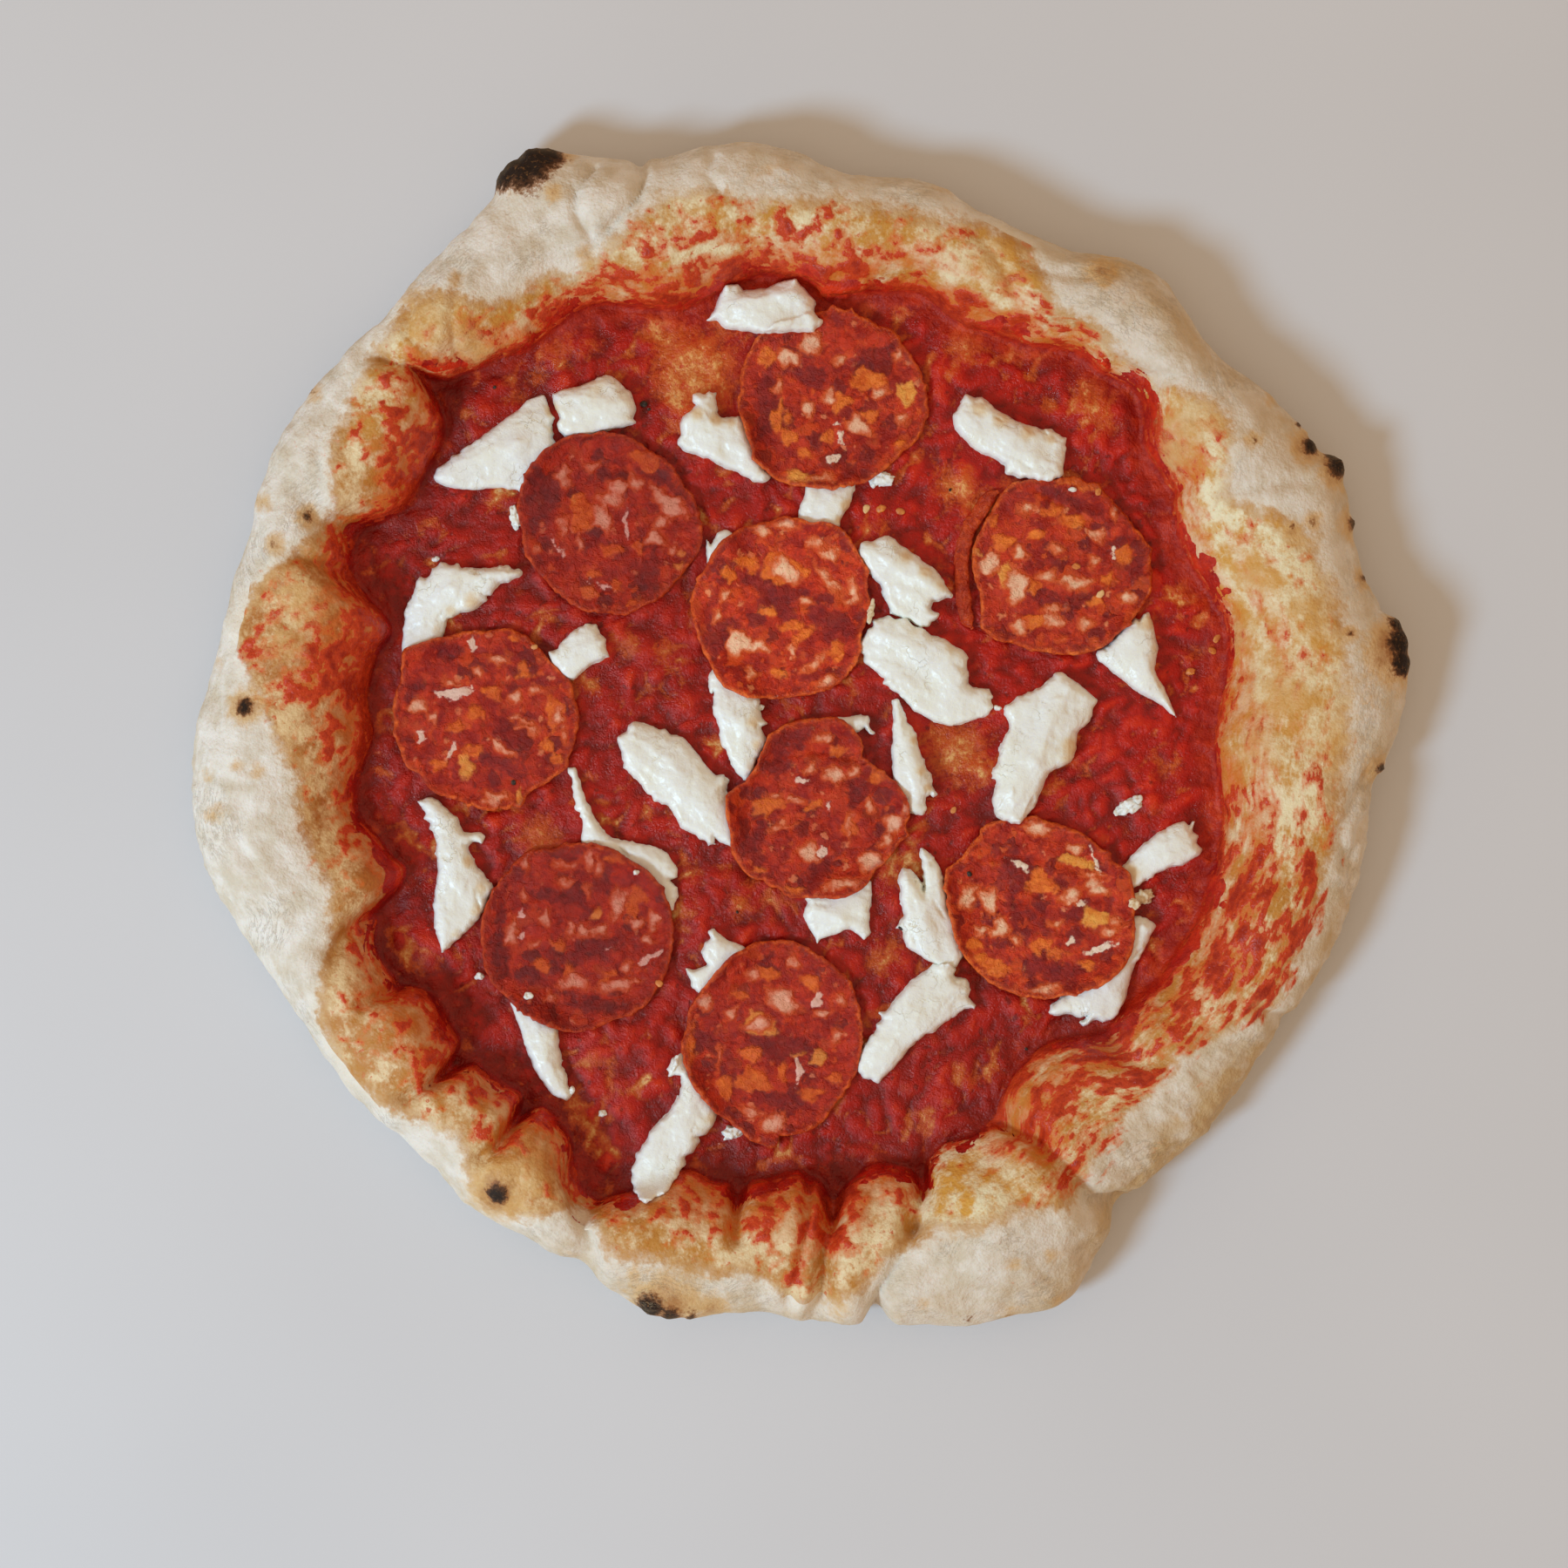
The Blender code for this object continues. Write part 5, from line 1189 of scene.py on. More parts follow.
def build_slice(key):
    (cx_px, cy_px), outline_px = SALAMI[key]
    cx, cy = (float(v) for v in plan(cx_px, cy_px))
    outline = [(px - cx, py - cy) for px, py in plan_line(outline_px)]
    around, count = 256, 50
    seed = 300 + 7 * list(SALAMI).index(key)
    angle = np.linspace(0, 2 * np.pi, around, endpoint=False)
    # The outline as a reach in every heading.
    heads = np.arctan2([p[1] for p in outline], [p[0] for p in outline])
    reach_pts = np.hypot([p[0] for p in outline], [p[1] for p in outline])
    order = np.argsort(np.mod(heads, 2 * np.pi))
    reach = np.interp(angle, np.mod(heads, 2 * np.pi)[order], reach_pts[order], period=2 * np.pi)
    ex, ey = 22 * np.cos(angle), 22 * np.sin(angle)
    ragged = 0.5 + step(noise(ex / 7.0, ey / 7.0, 0 * ex + seed), -0.1, 0.4)
    reach = reach + 0.26 * fbm(ex, ey, 0 * ex, 3.0, 2, seed) + 0.30 * ragged * fbm(ex, ey, 0 * ex, 1.2, 2, seed + 1)
    degrees = np.degrees(angle)
    for heading, amount, half in TUFTS[key]:
        off = (degrees - heading + 180) % 360 - 180
        reach = reach + amount * np.exp(-((off / half) ** 2)) * (0.65 + 0.5 * noise(ex * 1.7, ey * 1.7, 0 * ex + seed))

    rows, cols = (np.where((np.abs(map_x - cx) < 30) & (np.abs(map_y - cy) < 30))[k] for k in (0, 1))
    part = (slice(rows.min(), rows.max() + 1), slice(cols.min(), cols.max() + 1))
    local = ground[part]
    mx, my = map_x[part], map_y[part]
    at_edge = np.interp(np.mod(np.arctan2(my - cy, mx - cx), 2 * np.pi), angle, reach, period=2 * np.pi)
    covered = np.hypot(mx - cx, my - cy) < at_edge
    rough = np.where(covered, local, np.minimum(local, blur(local, 6)))
    sheet = membrane(rough)
    held = np.array(ground)
    held[part] = sheet

    share = (np.linspace(0.02, 1, count) ** 0.92)[:, None]
    r = share * reach[None, :]
    x, y = cx + r * np.cos(angle), cy + r * np.sin(angle)
    z0 = np.zeros_like(x)
    support = sample(held, x, y)
    inward = reach[None, :] - r
    # The edge curls up: more on some sides than on others.
    curl = 0.55 + 0.45 * noise(np.cos(angle) * 1.3 + seed, np.sin(angle) * 1.3, 0 * angle)[None, :]
    cup = 1.25 * curl * np.clip(1 - inward / 5.0, 0, 1) ** 1.6
    wave = 0.34 * fbm(x, y, z0, 11, 2, seed + 2) + 0.26 * fbm(x, y, z0, 4.2, 2, seed + 3)
    skin = 0.17 * fbm(x, y, z0, 2.0, 3, seed + 4)
    fields = fleck_fields(key, x + 0.95 * fbm(x, y, z0, 2.8, 3, seed + 5), y + 0.95 * fbm(x, y, z0, 2.8, 3, seed + 6))
    fat = np.maximum(np.maximum(fields["P"], fields["W"]), np.maximum(fields["O"], fields["Y"]))
    relief = 0.14 * step(fat, -0.1, 0.4) - 0.10 * step(-fat, -0.1, 0.5) * step(fat, -1.0, 0)
    relief = relief - 0.5 * step(fields["H"], -0.1, 0.3)
    for points_px, width, drop in CREASES.get(key, ()):
        line = plan_line(points_px)
        d, _ = near_line(x, y, line)
        relief = relief - drop * np.exp(-((d / width) ** 2)) + 0.5 * drop * np.exp(-(((d - 2.2 * width) / width) ** 2))
    lower = support + 0.06 + cup + wave.clip(-0.12, 1) + 0.12
    upper = lower + SLICE + skin + relief - 0.1
    # The cut edge is rounded and a little thinner.
    round_off = np.clip(1 - inward / 0.75, 0, 1)
    upper = upper - 0.55 * round_off ** 2
    top = np.stack([x, y, upper], -1).reshape(-1, 3)
    # Side ring and underside.
    side_x, side_y = cx + (reach + 0.10) * np.cos(angle), cy + (reach + 0.10) * np.sin(angle)
    side_z = 0.5 * (upper[-1] + lower[-1])
    parts = [top, np.stack([side_x, side_y, side_z], -1)]
    for s in (0.992, 0.93, 0.8, 0.6, 0.35, 0.12):
        ux, uy = cx + s * reach * np.cos(angle), cy + s * reach * np.sin(angle)
        uz = np.array([np.interp(s, share[:, 0], column) for column in lower.T])
        parts.append(np.stack([ux, uy, uz + (0.15 if s > 0.99 else 0)], -1))
    points = np.concatenate(parts)
    total = count + len(parts) - 1
    quads = rings(total, around)
    first = np.arange(around)[None, :]
    last = (np.arange(around) + (total - 1) * around)[None, ::-1]
    hidden = len(points) - len(top)

    def padded(values, rest):
        return np.concatenate([values.reshape(-1), np.full(hidden, rest)])

    edge_rest = padded(inward, 0)
    attributes = {
        "pale": padded(fields["P"], -6), "orange": padded(fields["O"], -6), "yellow": padded(fields["Y"], -6),
        "white": padded(fields["W"], -6), "meat": padded(fields["D"], -6), "edge": edge_rest,
        "tint": np.full(len(points), TINTS[key]),
    }
    thing = make("salami_slice_" + key, points, [quads, first, last], attributes)
    # The map rises where the slice lies.
    turn = np.mod(np.arctan2(my - cy, mx - cx), 2 * np.pi) / (2 * np.pi) * around
    ring = np.interp((np.hypot(mx - cx, my - cy) / at_edge), share[:, 0], np.arange(count))
    i = np.clip(ring.round().astype(int), 0, count - 1)
    j = turn.round().astype(int) % around
    ground[part] = np.where(covered, np.maximum(local, upper[i, j]), local)
    return thing


slices = {key: build_slice(key) for key in SALAMI}
for key in ("01", "05", "15"):
    chunks[key] = build_chunk(key)


def build_casing():
    """The strip of casing that has peeled off the east slice and lies beside it."""
    line = plan_line(((1148, 562), (1140, 566), (1132, 575), (1124, 590), (1116, 600), (1111, 612), (1107, 625),
                      (1105, 640), (1105, 655), (1107, 685), (1109, 700), (1113, 714), (1118, 721)))
    dense = []
    for n in range(len(line) - 1):
        for t in np.linspace(0, 1, 9, endpoint=False):
            dense.append((line[n][0] * (1 - t) + line[n + 1][0] * t, line[n][1] * (1 - t) + line[n + 1][1] * t))
    path = np.array(dense + [line[-1]])
    for _ in range(6):
        path[1:-1] = (path[:-2] + 2 * path[1:-1] + path[2:]) / 4
    slope = np.gradient(path, axis=0)
    slope /= np.linalg.norm(slope, axis=1)[:, None]
    normal = np.stack([-slope[:, 1], slope[:, 0]], -1)
    along = np.linspace(0, 1, len(path))
    z = sample(ground, path[:, 0], path[:, 1])
    z = np.convolve(np.pad(z, 5, mode="edge"), np.ones(11) / 11, "valid") + 0.9
    taper = np.clip(np.minimum(along, 1 - along) * 9, 0.25, 1)
    turn = np.linspace(0, 2 * np.pi, 20, endpoint=False)
    wobble = 0.22 * fbm(path[:, 0], path[:, 1], 0 * along, 2.2, 2, 71)
    points, edge = [], []
    for n in range(len(path)):
        rough = 0.16 * noise(path[n, 0] / 0.9 + np.cos(turn), path[n, 1] / 0.9 + np.sin(turn), turn * 0 + 0.5)
        wide = (1.85 + 1.4 * wobble[n] + rough) * taper[n]
        tall = (0.85 + rough) * taper[n]
        side = wide * np.cos(turn)
        points.append(np.stack([path[n, 0] + normal[n, 0] * side, path[n, 1] + normal[n, 1] * side,
                                z[n] + tall * np.sin(turn)], -1))
    points = np.concatenate(points)
    quads = rings(len(path), 20, flip=True)
    ends = [np.arange(20)[None, ::-1], (np.arange(20) + (len(path) - 1) * 20)[None, :]]
    none = np.full(len(points), -6.0)
    attributes = {"pale": none, "orange": none, "yellow": none, "white": none, "meat": none,
                  "edge": np.full(len(points), 0.3), "tint": np.full(len(points), 0.9)}
    return make("salami_casing_east", points, [quads, *ends], attributes)


casing = build_casing()


# ------------------------------------------------- crumbs, pepper grains, seeds
def pebble(x, y, z, rx, ry, rz, turn=0.0, tilt=0.0, rough=0.2, seed=1, tall=12, around=20, grain=1.0):
    """A small closed lump: (points, quads, first cap, last cap)."""
    u = np.linspace(0.12, np.pi - 0.12, tall)[:, None]
    v = np.linspace(0, 2 * np.pi, around, endpoint=False)[None, :]
    px, py, pz = np.sin(u) * np.cos(v), np.sin(u) * np.sin(v), np.cos(u) + 0 * v
    bump = 1 + rough * fbm(px * rx / grain + seed, py * ry / grain, pz * rz / grain + seed, 1.0, 2, seed)
    px, py, pz = px * rx * bump, py * ry * bump, pz * rz * bump
    ct, st = math.cos(tilt), math.sin(tilt)
    px, pz = px * ct - pz * st, px * st + pz * ct
    c, s = math.cos(turn), math.sin(turn)
    points = np.stack([x + px * c - py * s, y + px * s + py * c, z + pz], -1).reshape(-1, 3)
    quads = rings(tall, around)
    first = np.arange(around)[None, :]
    last = (np.arange(around) + (tall - 1) * around)[None, ::-1]
    return points, quads, first, last


def joined(name, lumps, attributes=None):
    """One object from many small lumps."""
    points, quads, caps = [], [], []
    offset = 0
    for p, q, a, b in lumps:
        points.append(p)
        quads.append(q + offset)
        caps += [a + offset, b + offset]
        offset += len(p)
    points = np.concatenate(points)
    extra = {key: np.concatenate([np.full(len(lump[0]), value) for lump, value in zip(lumps, values)])
             for key, values in (attributes or {}).items()}
    return make(name, points, [np.concatenate(quads), *caps], extra)


# Plan x, y, half sizes in plan units, height in mm, turn in degrees, how browned.
CRUMBS = (
    (590, 592, 6, 13, 2.2, 10, 0.1), (548, 1122, 5, 4, 1.4, 30, 0.1), (1298, 926, 14, 8, 2.2, 25, 0.15),
    (1308, 918, 6, 5, 1.8, 0, 0.1), (1286, 932, 6, 5, 1.6, 60, 0.3), (840, 1303, 12, 8, 2.0, 15, 0.1),
    (775, 1222, 3, 9, 1.6, -20, 0.0), (1014, 547, 13, 8, 2.2, -10, 0.1), (1004, 552, 6, 5, 1.8, 40, 0.2),
    (1000, 700, 4, 13, 1.8, -10, 0.85), (1314, 1031, 13, 8, 2.4, 20, 0.85), (1304, 1038, 7, 6, 1.8, 60, 0.7),
    (605, 1144, 5, 4, 1.5, 0, 0.2), (691, 1281, 5, 4, 1.4, 0, 0.1), (730, 1002, 4, 3, 1.2, 30, 0.3),
    (1147, 812, 5, 3, 1.2, 0, 0.2), (655, 1254, 4, 4, 1.2, 50, 0.2), (873, 812, 4, 3, 1.2, 30, 0.2),
    (1232, 560, 4, 3, 1.2, 0, 0.3), (497, 640, 4, 3, 1.2, 0, 0.2),
)
PEPPER = ((738, 461, 4.5), (566, 442, 2.4), (588, 898, 3.4), (1114, 1004, 3.6), (1035, 1066, 3.2), (744, 467, 2.0),
          (1092, 560, 2.0), (846, 1048, 2.0), (1180, 1206, 2.2))
SEEDS = ((1012, 582, 6.5, 30, 0.0), (1034, 585, 6.0, -20, 0.1), (995, 582, 6.0, 70, 0.9), (1370, 770, 6.5, 10, 0.0),
         (1400, 732, 6.0, 50, 0.1), (1395, 746, 5.5, -30, 0.0), (1265, 681, 6.0, 40, 0.8), (1237, 649, 5.5, 0, 0.1),
         (1262, 563, 5.5, 80, 0.1), (756, 1130, 5.5, -40, 0.1), (612, 742, 4.5, 20, 0.4), (1096, 930, 5.0, 60, 0.2))


def build_crumbs():
    lumps, browned = [], []
    for n, (px, py, half_w, half_h, height, turn, brown) in enumerate(CRUMBS):
        x, y = (float(v) for v in plan(px, py))
        z = float(sample(ground, x, y)) + height * 0.28
        lumps.append(pebble(x, y, z, half_w * UNIT, half_h * UNIT, height * 0.62, math.radians(turn), 0.1 * math.sin(n),
                            0.50, 40 + n, 24, 40, 1.2))
        browned.append(brown)
    return joined("mozzarella_crumbs", lumps, {"beige_and_shade": browned})


def build_pepper():
    lumps = []
    for n, (px, py, half) in enumerate(PEPPER):
        x, y = (float(v) for v in plan(px, py))
        z = float(sample(ground, x, y)) + half * UNIT * 0.45
        lumps.append(pebble(x, y, z, half * UNIT, half * UNIT * 0.8, half * UNIT * 0.7, 0.7 * n, 0.3, 0.3, 60 + n, 9, 12, 0.6))
    return joined("pepper_grains", lumps)


def build_seeds():
    lumps, pale = [], []
    for n, (px, py, half, turn, paleness) in enumerate(SEEDS):
        x, y = (float(v) for v in plan(px, py))
        z = float(sample(ground, x, y)) + 0.22
        lumps.append(pebble(x, y, z, half * UNIT * 0.9, half * UNIT * 0.66, 0.36, math.radians(turn), 0.22 * math.cos(n * 2.1),
                            0.20, 80 + n, 12, 22, 0.9))
        pale.append(paleness)
    return joined("chilli_seeds", lumps, {"pale": pale})


crumbs = build_crumbs()
pepper = build_pepper()
seeds = build_seeds()


# ------------------------------------------------------------------- materials
# How much light of each colour a level surface gets here.
LIT = (0.83, 0.82, 0.79)


def linear(r, g, b):
    return tuple((v / 255 / 12.92) if v / 255 <= 0.04045 else ((v / 255 + 0.055) / 1.055) ** 2.4 for v in (r, g, b))


def seen(r, g, b, more=1.0):
    """The surface colour that looks like this under the lights here."""
    return tuple(min(v / (lit * more), 0.93) for v, lit in zip(linear(r, g, b), LIT))


class Look:
    """A material with helpers for building its nodes."""

    def __init__(self, name, **settings):
        self.material = bpy.data.materials.new(name)
        self.material.use_nodes = True
        self.nodes = self.material.node_tree.nodes
        self.links = self.material.node_tree.links
        self.nodes.clear()
        self.out = self.nodes.new("ShaderNodeOutputMaterial")
        self.surface = self.nodes.new("ShaderNodeBsdfPrincipled")
        self.links.new(self.surface.outputs[0], self.out.inputs["Surface"])
        for key, value in settings.items():
            self.surface.inputs[key.replace("_", " ")].default_value = value
        coords = self.nodes.new("ShaderNodeTexCoord")
        self.place = self.scaled(coords.outputs["Object"], 1000.0)

    def feed(self, socket, value):
        if hasattr(value, "is_linked"):
            self.links.new(value, socket)
        elif isinstance(value, tuple) and len(value) == 3 and len(socket.default_value) == 4:
            socket.default_value = (*value, 1.0)
        else:
            socket.default_value = value

    def scaled(self, vector, amount):
        node = self.nodes.new("ShaderNodeVectorMath")
        node.operation = "SCALE"
        self.feed(node.inputs[0], vector)
        node.inputs["Scale"].default_value = amount
        return node.outputs[0]

    def warped(self, size, amount, detail=2.0, vector=None, shift=0.0):
        """The place in mm, pushed about by noise with features of that size."""
        node = self.nodes.new("ShaderNodeTexNoise")
        node.noise_dimensions = "4D"
        self.feed(node.inputs["Vector"], vector if vector is not None else self.place)
        node.inputs["W"].default_value = shift
        node.inputs["Scale"].default_value = 1.0 / size
        node.inputs["Detail"].default_value = detail
        centred = self.nodes.new("ShaderNodeVectorMath")
        centred.operation = "SUBTRACT"
        self.links.new(node.outputs["Color"], centred.inputs[0])
        centred.inputs[1].default_value = (0.5, 0.5, 0.5)
        total = self.nodes.new("ShaderNodeVectorMath")
        total.operation = "ADD"
        self.feed(total.inputs[0], vector if vector is not None else self.place)
        self.links.new(self.scaled(centred.outputs[0], amount * 4.0), total.inputs[1])
        return total.outputs[0]

    def attr(self, name, vector=False):
        node = self.nodes.new("ShaderNodeAttribute")
        node.attribute_name = name
        return node.outputs["Vector" if vector else "Fac"]

    def noise(self, size, detail=2.0, rough=0.5, vector=None, shift=0.0, twist=0.0):
        """Noise from -1 to 1 with features of that size in mm."""
        node = self.nodes.new("ShaderNodeTexNoise")
        node.noise_dimensions = "4D"
        self.feed(node.inputs["Vector"], vector if vector is not None else self.place)
        node.inputs["W"].default_value = shift
        node.inputs["Scale"].default_value = 1.0 / size
        node.inputs["Detail"].default_value = detail
        node.inputs["Roughness"].default_value = rough
        node.inputs["Distortion"].default_value = twist
        return self.math("MULTIPLY_ADD", node.outputs["Fac"], 4.0, -2.0)

    def cells(self, size, vector=None, feature="F1", edge=1.0):
        node = self.nodes.new("ShaderNodeTexVoronoi")
        node.feature = feature
        self.feed(node.inputs["Vector"], vector if vector is not None else self.place)
        node.inputs["Scale"].default_value = 1.0 / size
        node.inputs["Randomness"].default_value = edge
        return node

    def pick(self, node, channel=0):
        """A random number from 0 to 1 for every cell."""
        split = self.nodes.new("ShaderNodeSeparateColor")
        self.links.new(node.outputs["Color"], split.inputs[0])
        return split.outputs[channel]

    def math(self, operation, a, b=0.0, c=0.0, clamp=False):
        node = self.nodes.new("ShaderNodeMath")
        node.operation = operation
        node.use_clamp = clamp
        for socket, value in zip(node.inputs, (a, b, c)):
            self.feed(socket, value)
        return node.outputs[0]

    def add(self, *values):
        total = values[0]
        for value in values[1:]:
            total = self.math("ADD", total, value)
        return total

    def times(self, a, b):
        return self.math("MULTIPLY", a, b)

    def shade(self, color, amount):
        """The colour made lighter or darker."""
        node = self.nodes.new("ShaderNodeVectorMath")
        node.operation = "SCALE"
        self.feed(node.inputs[0], color)
        self.feed(node.inputs["Scale"], amount)
        return node.outputs[0]

    def ease(self, value, low, high, to_low=0.0, to_high=1.0):
        node = self.nodes.new("ShaderNodeMapRange")
        node.interpolation_type = "SMOOTHSTEP"
        self.feed(node.inputs["Value"], value)
        node.inputs["From Min"].default_value = low
        node.inputs["From Max"].default_value = high
        node.inputs["To Min"].default_value = to_low
        node.inputs["To Max"].default_value = to_high
        return node.outputs["Result"]

    def mix_value(self, share, a, b):
        """A number between a and b."""
        return self.math("MULTIPLY_ADD", share, b - a, a)

    def mix(self, share, a, b, kind="MIX"):
        node = self.nodes.new("ShaderNodeMix")
        node.data_type = "RGBA"
        node.blend_type = kind
        self.feed(node.inputs[0], share)
        self.feed(node.inputs[6], a)
        self.feed(node.inputs[7], b)
        return node.outputs[2]

    def bump(self, height, distance, normal=None):
        node = self.nodes.new("ShaderNodeBump")
        node.inputs["Strength"].default_value = 1.0
        node.inputs["Distance"].default_value = distance * MM
        self.feed(node.inputs["Height"], height)
        if normal is not None:
            self.links.new(normal, node.inputs["Normal"])
        return node.outputs[0]

    def give(self, color=None, roughness=None, normal=None):
        if color is not None:
            self.feed(self.surface.inputs["Base Color"], color)
        if roughness is not None:
            self.feed(self.surface.inputs["Roughness"], roughness)
        if normal is not None:
            self.links.new(normal, self.surface.inputs["Normal"])
        return self.material

    def glow(self, weight, radius, scale):
        self.surface.inputs["Subsurface Weight"].default_value = weight
        self.surface.inputs["Subsurface Radius"].default_value = radius
        self.surface.inputs["Subsurface Scale"].default_value = scale


def dough_look():
    k = Look("baked_dough", Specular_IOR_Level=0.28)
    k.glow(0.10, (1.0, 0.6, 0.35), 0.0014)
    flow = k.attr("flow", vector=True)
    broad, patch, fine = k.noise(16, 2), k.noise(5.5, 3, 0.6), k.noise(1.1, 3, 0.6)
    out = k.attr("outside")
    hollow = k.attr("hollow")

    # Pale floury dough, with faint tan clouds and pores.
    cream = k.mix(k.ease(broad, -1, 1), seen(226, 217, 203), seen(217, 203, 180))
    cream = k.mix(k.ease(patch, 0.0, 1.1, 0, 0.5), cream, seen(206, 184, 150))
    cream = k.mix(k.ease(k.noise(1.1, 2, 0.6, shift=2), 0.55, 1.1, 0, 0.45), cream, seen(196, 158, 108))
    wrinkle = k.noise(3.4, 4, 0.6, vector=flow, shift=5)
    dusty = k.add(k.noise(7.0, 4, 0.6, shift=57), k.times(wrinkle, 0.25))
    floury = k.mix(k.ease(dusty, -0.8, 0.6), seen(198, 182, 158), seen(223, 215, 204))
    floury = k.mix(k.ease(k.noise(0.9, 2, 0.6, shift=59), 0.45, 1.0, 0, 0.45), floury, seen(182, 158, 124))
    cream = k.mix(k.times(out, 0.85), cream, floury)
    # Tan and painted shade on the pale outside, darkest towards the outer edge on the east and south-east.
    tan_and_shade = k.times(k.attr("tan_and_shade"), k.ease(k.add(patch, k.times(broad, 0.6)), -1.0, 0.9, 0.45, 1.25))
    cream = k.mix(tan_and_shade, cream, seen(188, 156, 112))
    cream = k.mix(k.ease(k.add(hollow, k.times(patch, 0.3)), 1.0, 2.4, 0, 0.35), cream, seen(206, 172, 126))

    # The oily zone inside: golden or tan, mottled, with a soft ragged border.
    streaky = k.attr("drawn_out")
    run = k.mix(streaky, k.noise(5.5, 4, 0.62, shift=67), k.noise(6.5, 4, 0.62, vector=flow, shift=11))
    run2 = k.mix(streaky, k.noise(1.5, 4, 0.62, shift=69), k.noise(2.2, 3, 0.6, vector=flow, shift=13))
    # brown is partly toasting and partly painted shade on the inner wall that faces away from the lamp.
    brown, red = k.attr("brown"), k.attr("red")
    mottle = k.ease(k.add(k.noise(8.0, 4, 0.62, shift=61), k.times(run2, 0.35)), -0.38, 0.42)
    yellow = k.mix(mottle, seen(235, 218, 182), seen(206, 152, 66))
    tan = k.mix(mottle, seen(214, 178, 126), seen(160, 92, 42))
    base = k.mix(brown, yellow, tan)
    # Cream streaks and golden ones, drawn out along the rim.
    streak = k.add(run, k.times(run2, 0.5))
    base = k.mix(k.ease(streak, 0.15, 0.75, 0, 0.8), base, k.mix(brown, seen(236, 216, 178), seen(222, 188, 140)))
    freckle = k.mix(brown, seen(204, 142, 58), seen(182, 98, 40))
    base = k.mix(k.ease(k.noise(1.5, 4, 0.68, shift=45), 0.1, 0.8, 0, 0.7), base, freckle)
    depth = k.add(k.attr("depth"), k.times(run, -0.22), k.times(run2, -0.12), k.times(k.attr("splash"), 0.22))
    stained = k.times(k.ease(depth, 0.16, 0.86, 0, 0.74), k.ease(red, 0.05, 0.55, 0.12, 1.0))
    base = k.mix(stained, base, k.mix(brown, seen(208, 106, 34), seen(176, 82, 32)))
    border = k.add(k.attr("stain"), k.times(k.noise(5, 4, 0.62, shift=47), 2.4), k.times(k.noise(1.5, 3, 0.65, shift=49), 1.6))
    color = k.mix(k.ease(border, -2.2, 2.6), cream, base)
    band = k.times(k.ease(border, -2.6, 0.6), k.ease(border, 5.0, 1.0, 0, 0.7))
    color = k.mix(k.times(band, k.ease(broad, -1.0, 0.6, 0.3, 1.0)), color, seen(180, 124, 56))

    # Splashes of pulp, crisp, thick ones darker, each with an orange fringe.
    splash = k.add(k.attr("splash"), k.times(run2, 0.34), k.times(fine, 0.16), k.times(run, 0.10))
    color = k.mix(k.ease(splash, -0.50, 0.0, 0, 0.70), color, seen(204, 100, 38))
    pulp = k.mix(k.ease(splash, 0.05, 0.8), seen(196, 58, 24), seen(150, 24, 14))
    pulp = k.mix(k.ease(k.noise(1.6, 3, 0.6, shift=51), 0.2, 0.9, 0, 0.5), pulp, seen(208, 86, 32))
    color = k.mix(k.ease(splash, -0.02, 0.09, 0, 0.92), color, pulp)
    # Fine red specks out to the border, of every size and in groups.
    dots = k.cells(2.7, vector=k.warped(1.3, 0.75, 3.0, shift=53))
    speck = k.ease(k.math("SUBTRACT", k.add(dots.outputs["Distance"], k.times(fine, 0.10)), k.times(k.pick(dots), 0.30)), -0.10, 0.02, 1, 0)
    some = k.times(k.ease(k.add(run, k.times(red, 1.2)), 0.2, 0.9), k.ease(border, 0.0, 3.0))
    color = k.mix(k.times(speck, k.times(some, 0.8)), color, seen(192, 76, 32))

    golden = k.attr("golden")
    g = k.add(golden, k.times(k.noise(3.0, 3, 0.65, shift=7), 0.20), k.times(fine, 0.08))
    color = k.mix(k.ease(g, 0.22, 0.66, 0, 0.75), color, seen(204, 160, 98))
    color = k.mix(k.ease(g, 0.56, 1.0, 0, 0.8), color, seen(160, 104, 54))
    burnt = k.attr("burnt")
    c = k.add(burnt, k.times(k.noise(1.7, 3, 0.7, shift=23), 0.26), k.times(fine, 0.10))
    color = k.mix(k.ease(c, 0.28, 0.48, 0, 0.85), color, seen(140, 88, 46))
    color = k.mix(k.ease(c, 0.45, 0.62, 0, 1), color, seen(78, 48, 28))
    char = k.mix(k.ease(k.noise(1.0, 3, 0.6, shift=55), 0.1, 0.9), seen(40, 26, 17), seen(116, 78, 42))
    color = k.mix(k.ease(c, 0.62, 0.84, 0, 1), color, char)

    # The wall under the crest is paler, and the underside is toasted.
    color = k.mix(k.times(k.attr("wall"), k.ease(patch, -1, 0.8, 0.15, 0.6)), color, seen(208, 184, 146))
    brown_under = k.mix(k.ease(broad, -1, 1), seen(212, 180, 134), seen(196, 152, 104))
    brown_under = k.mix(k.ease(k.noise(7.5, 3, 0.6, shift=29), 0.1, 0.8, 0, 0.85), brown_under, seen(128, 80, 46))
    brown_under = k.mix(k.ease(k.noise(2.4, 3, 0.6, shift=31), 0.6, 1.1, 0, 0.7), brown_under, seen(72, 48, 34))
    color = k.mix(k.ease(k.add(k.attr("under"), k.times(patch, 0.12)), 0.1, 0.8), color, brown_under)

    wet = k.ease(splash, -0.1, 0.3)
    oily = k.ease(border, -0.5, 2.0)
    rough = k.math("SUBTRACT", 0.66, k.add(k.times(wet, 0.20), k.times(oily, 0.20)))
    rough = k.add(rough, k.times(fine, 0.05), k.ease(c, 0.4, 0.7, 0, 0.28))
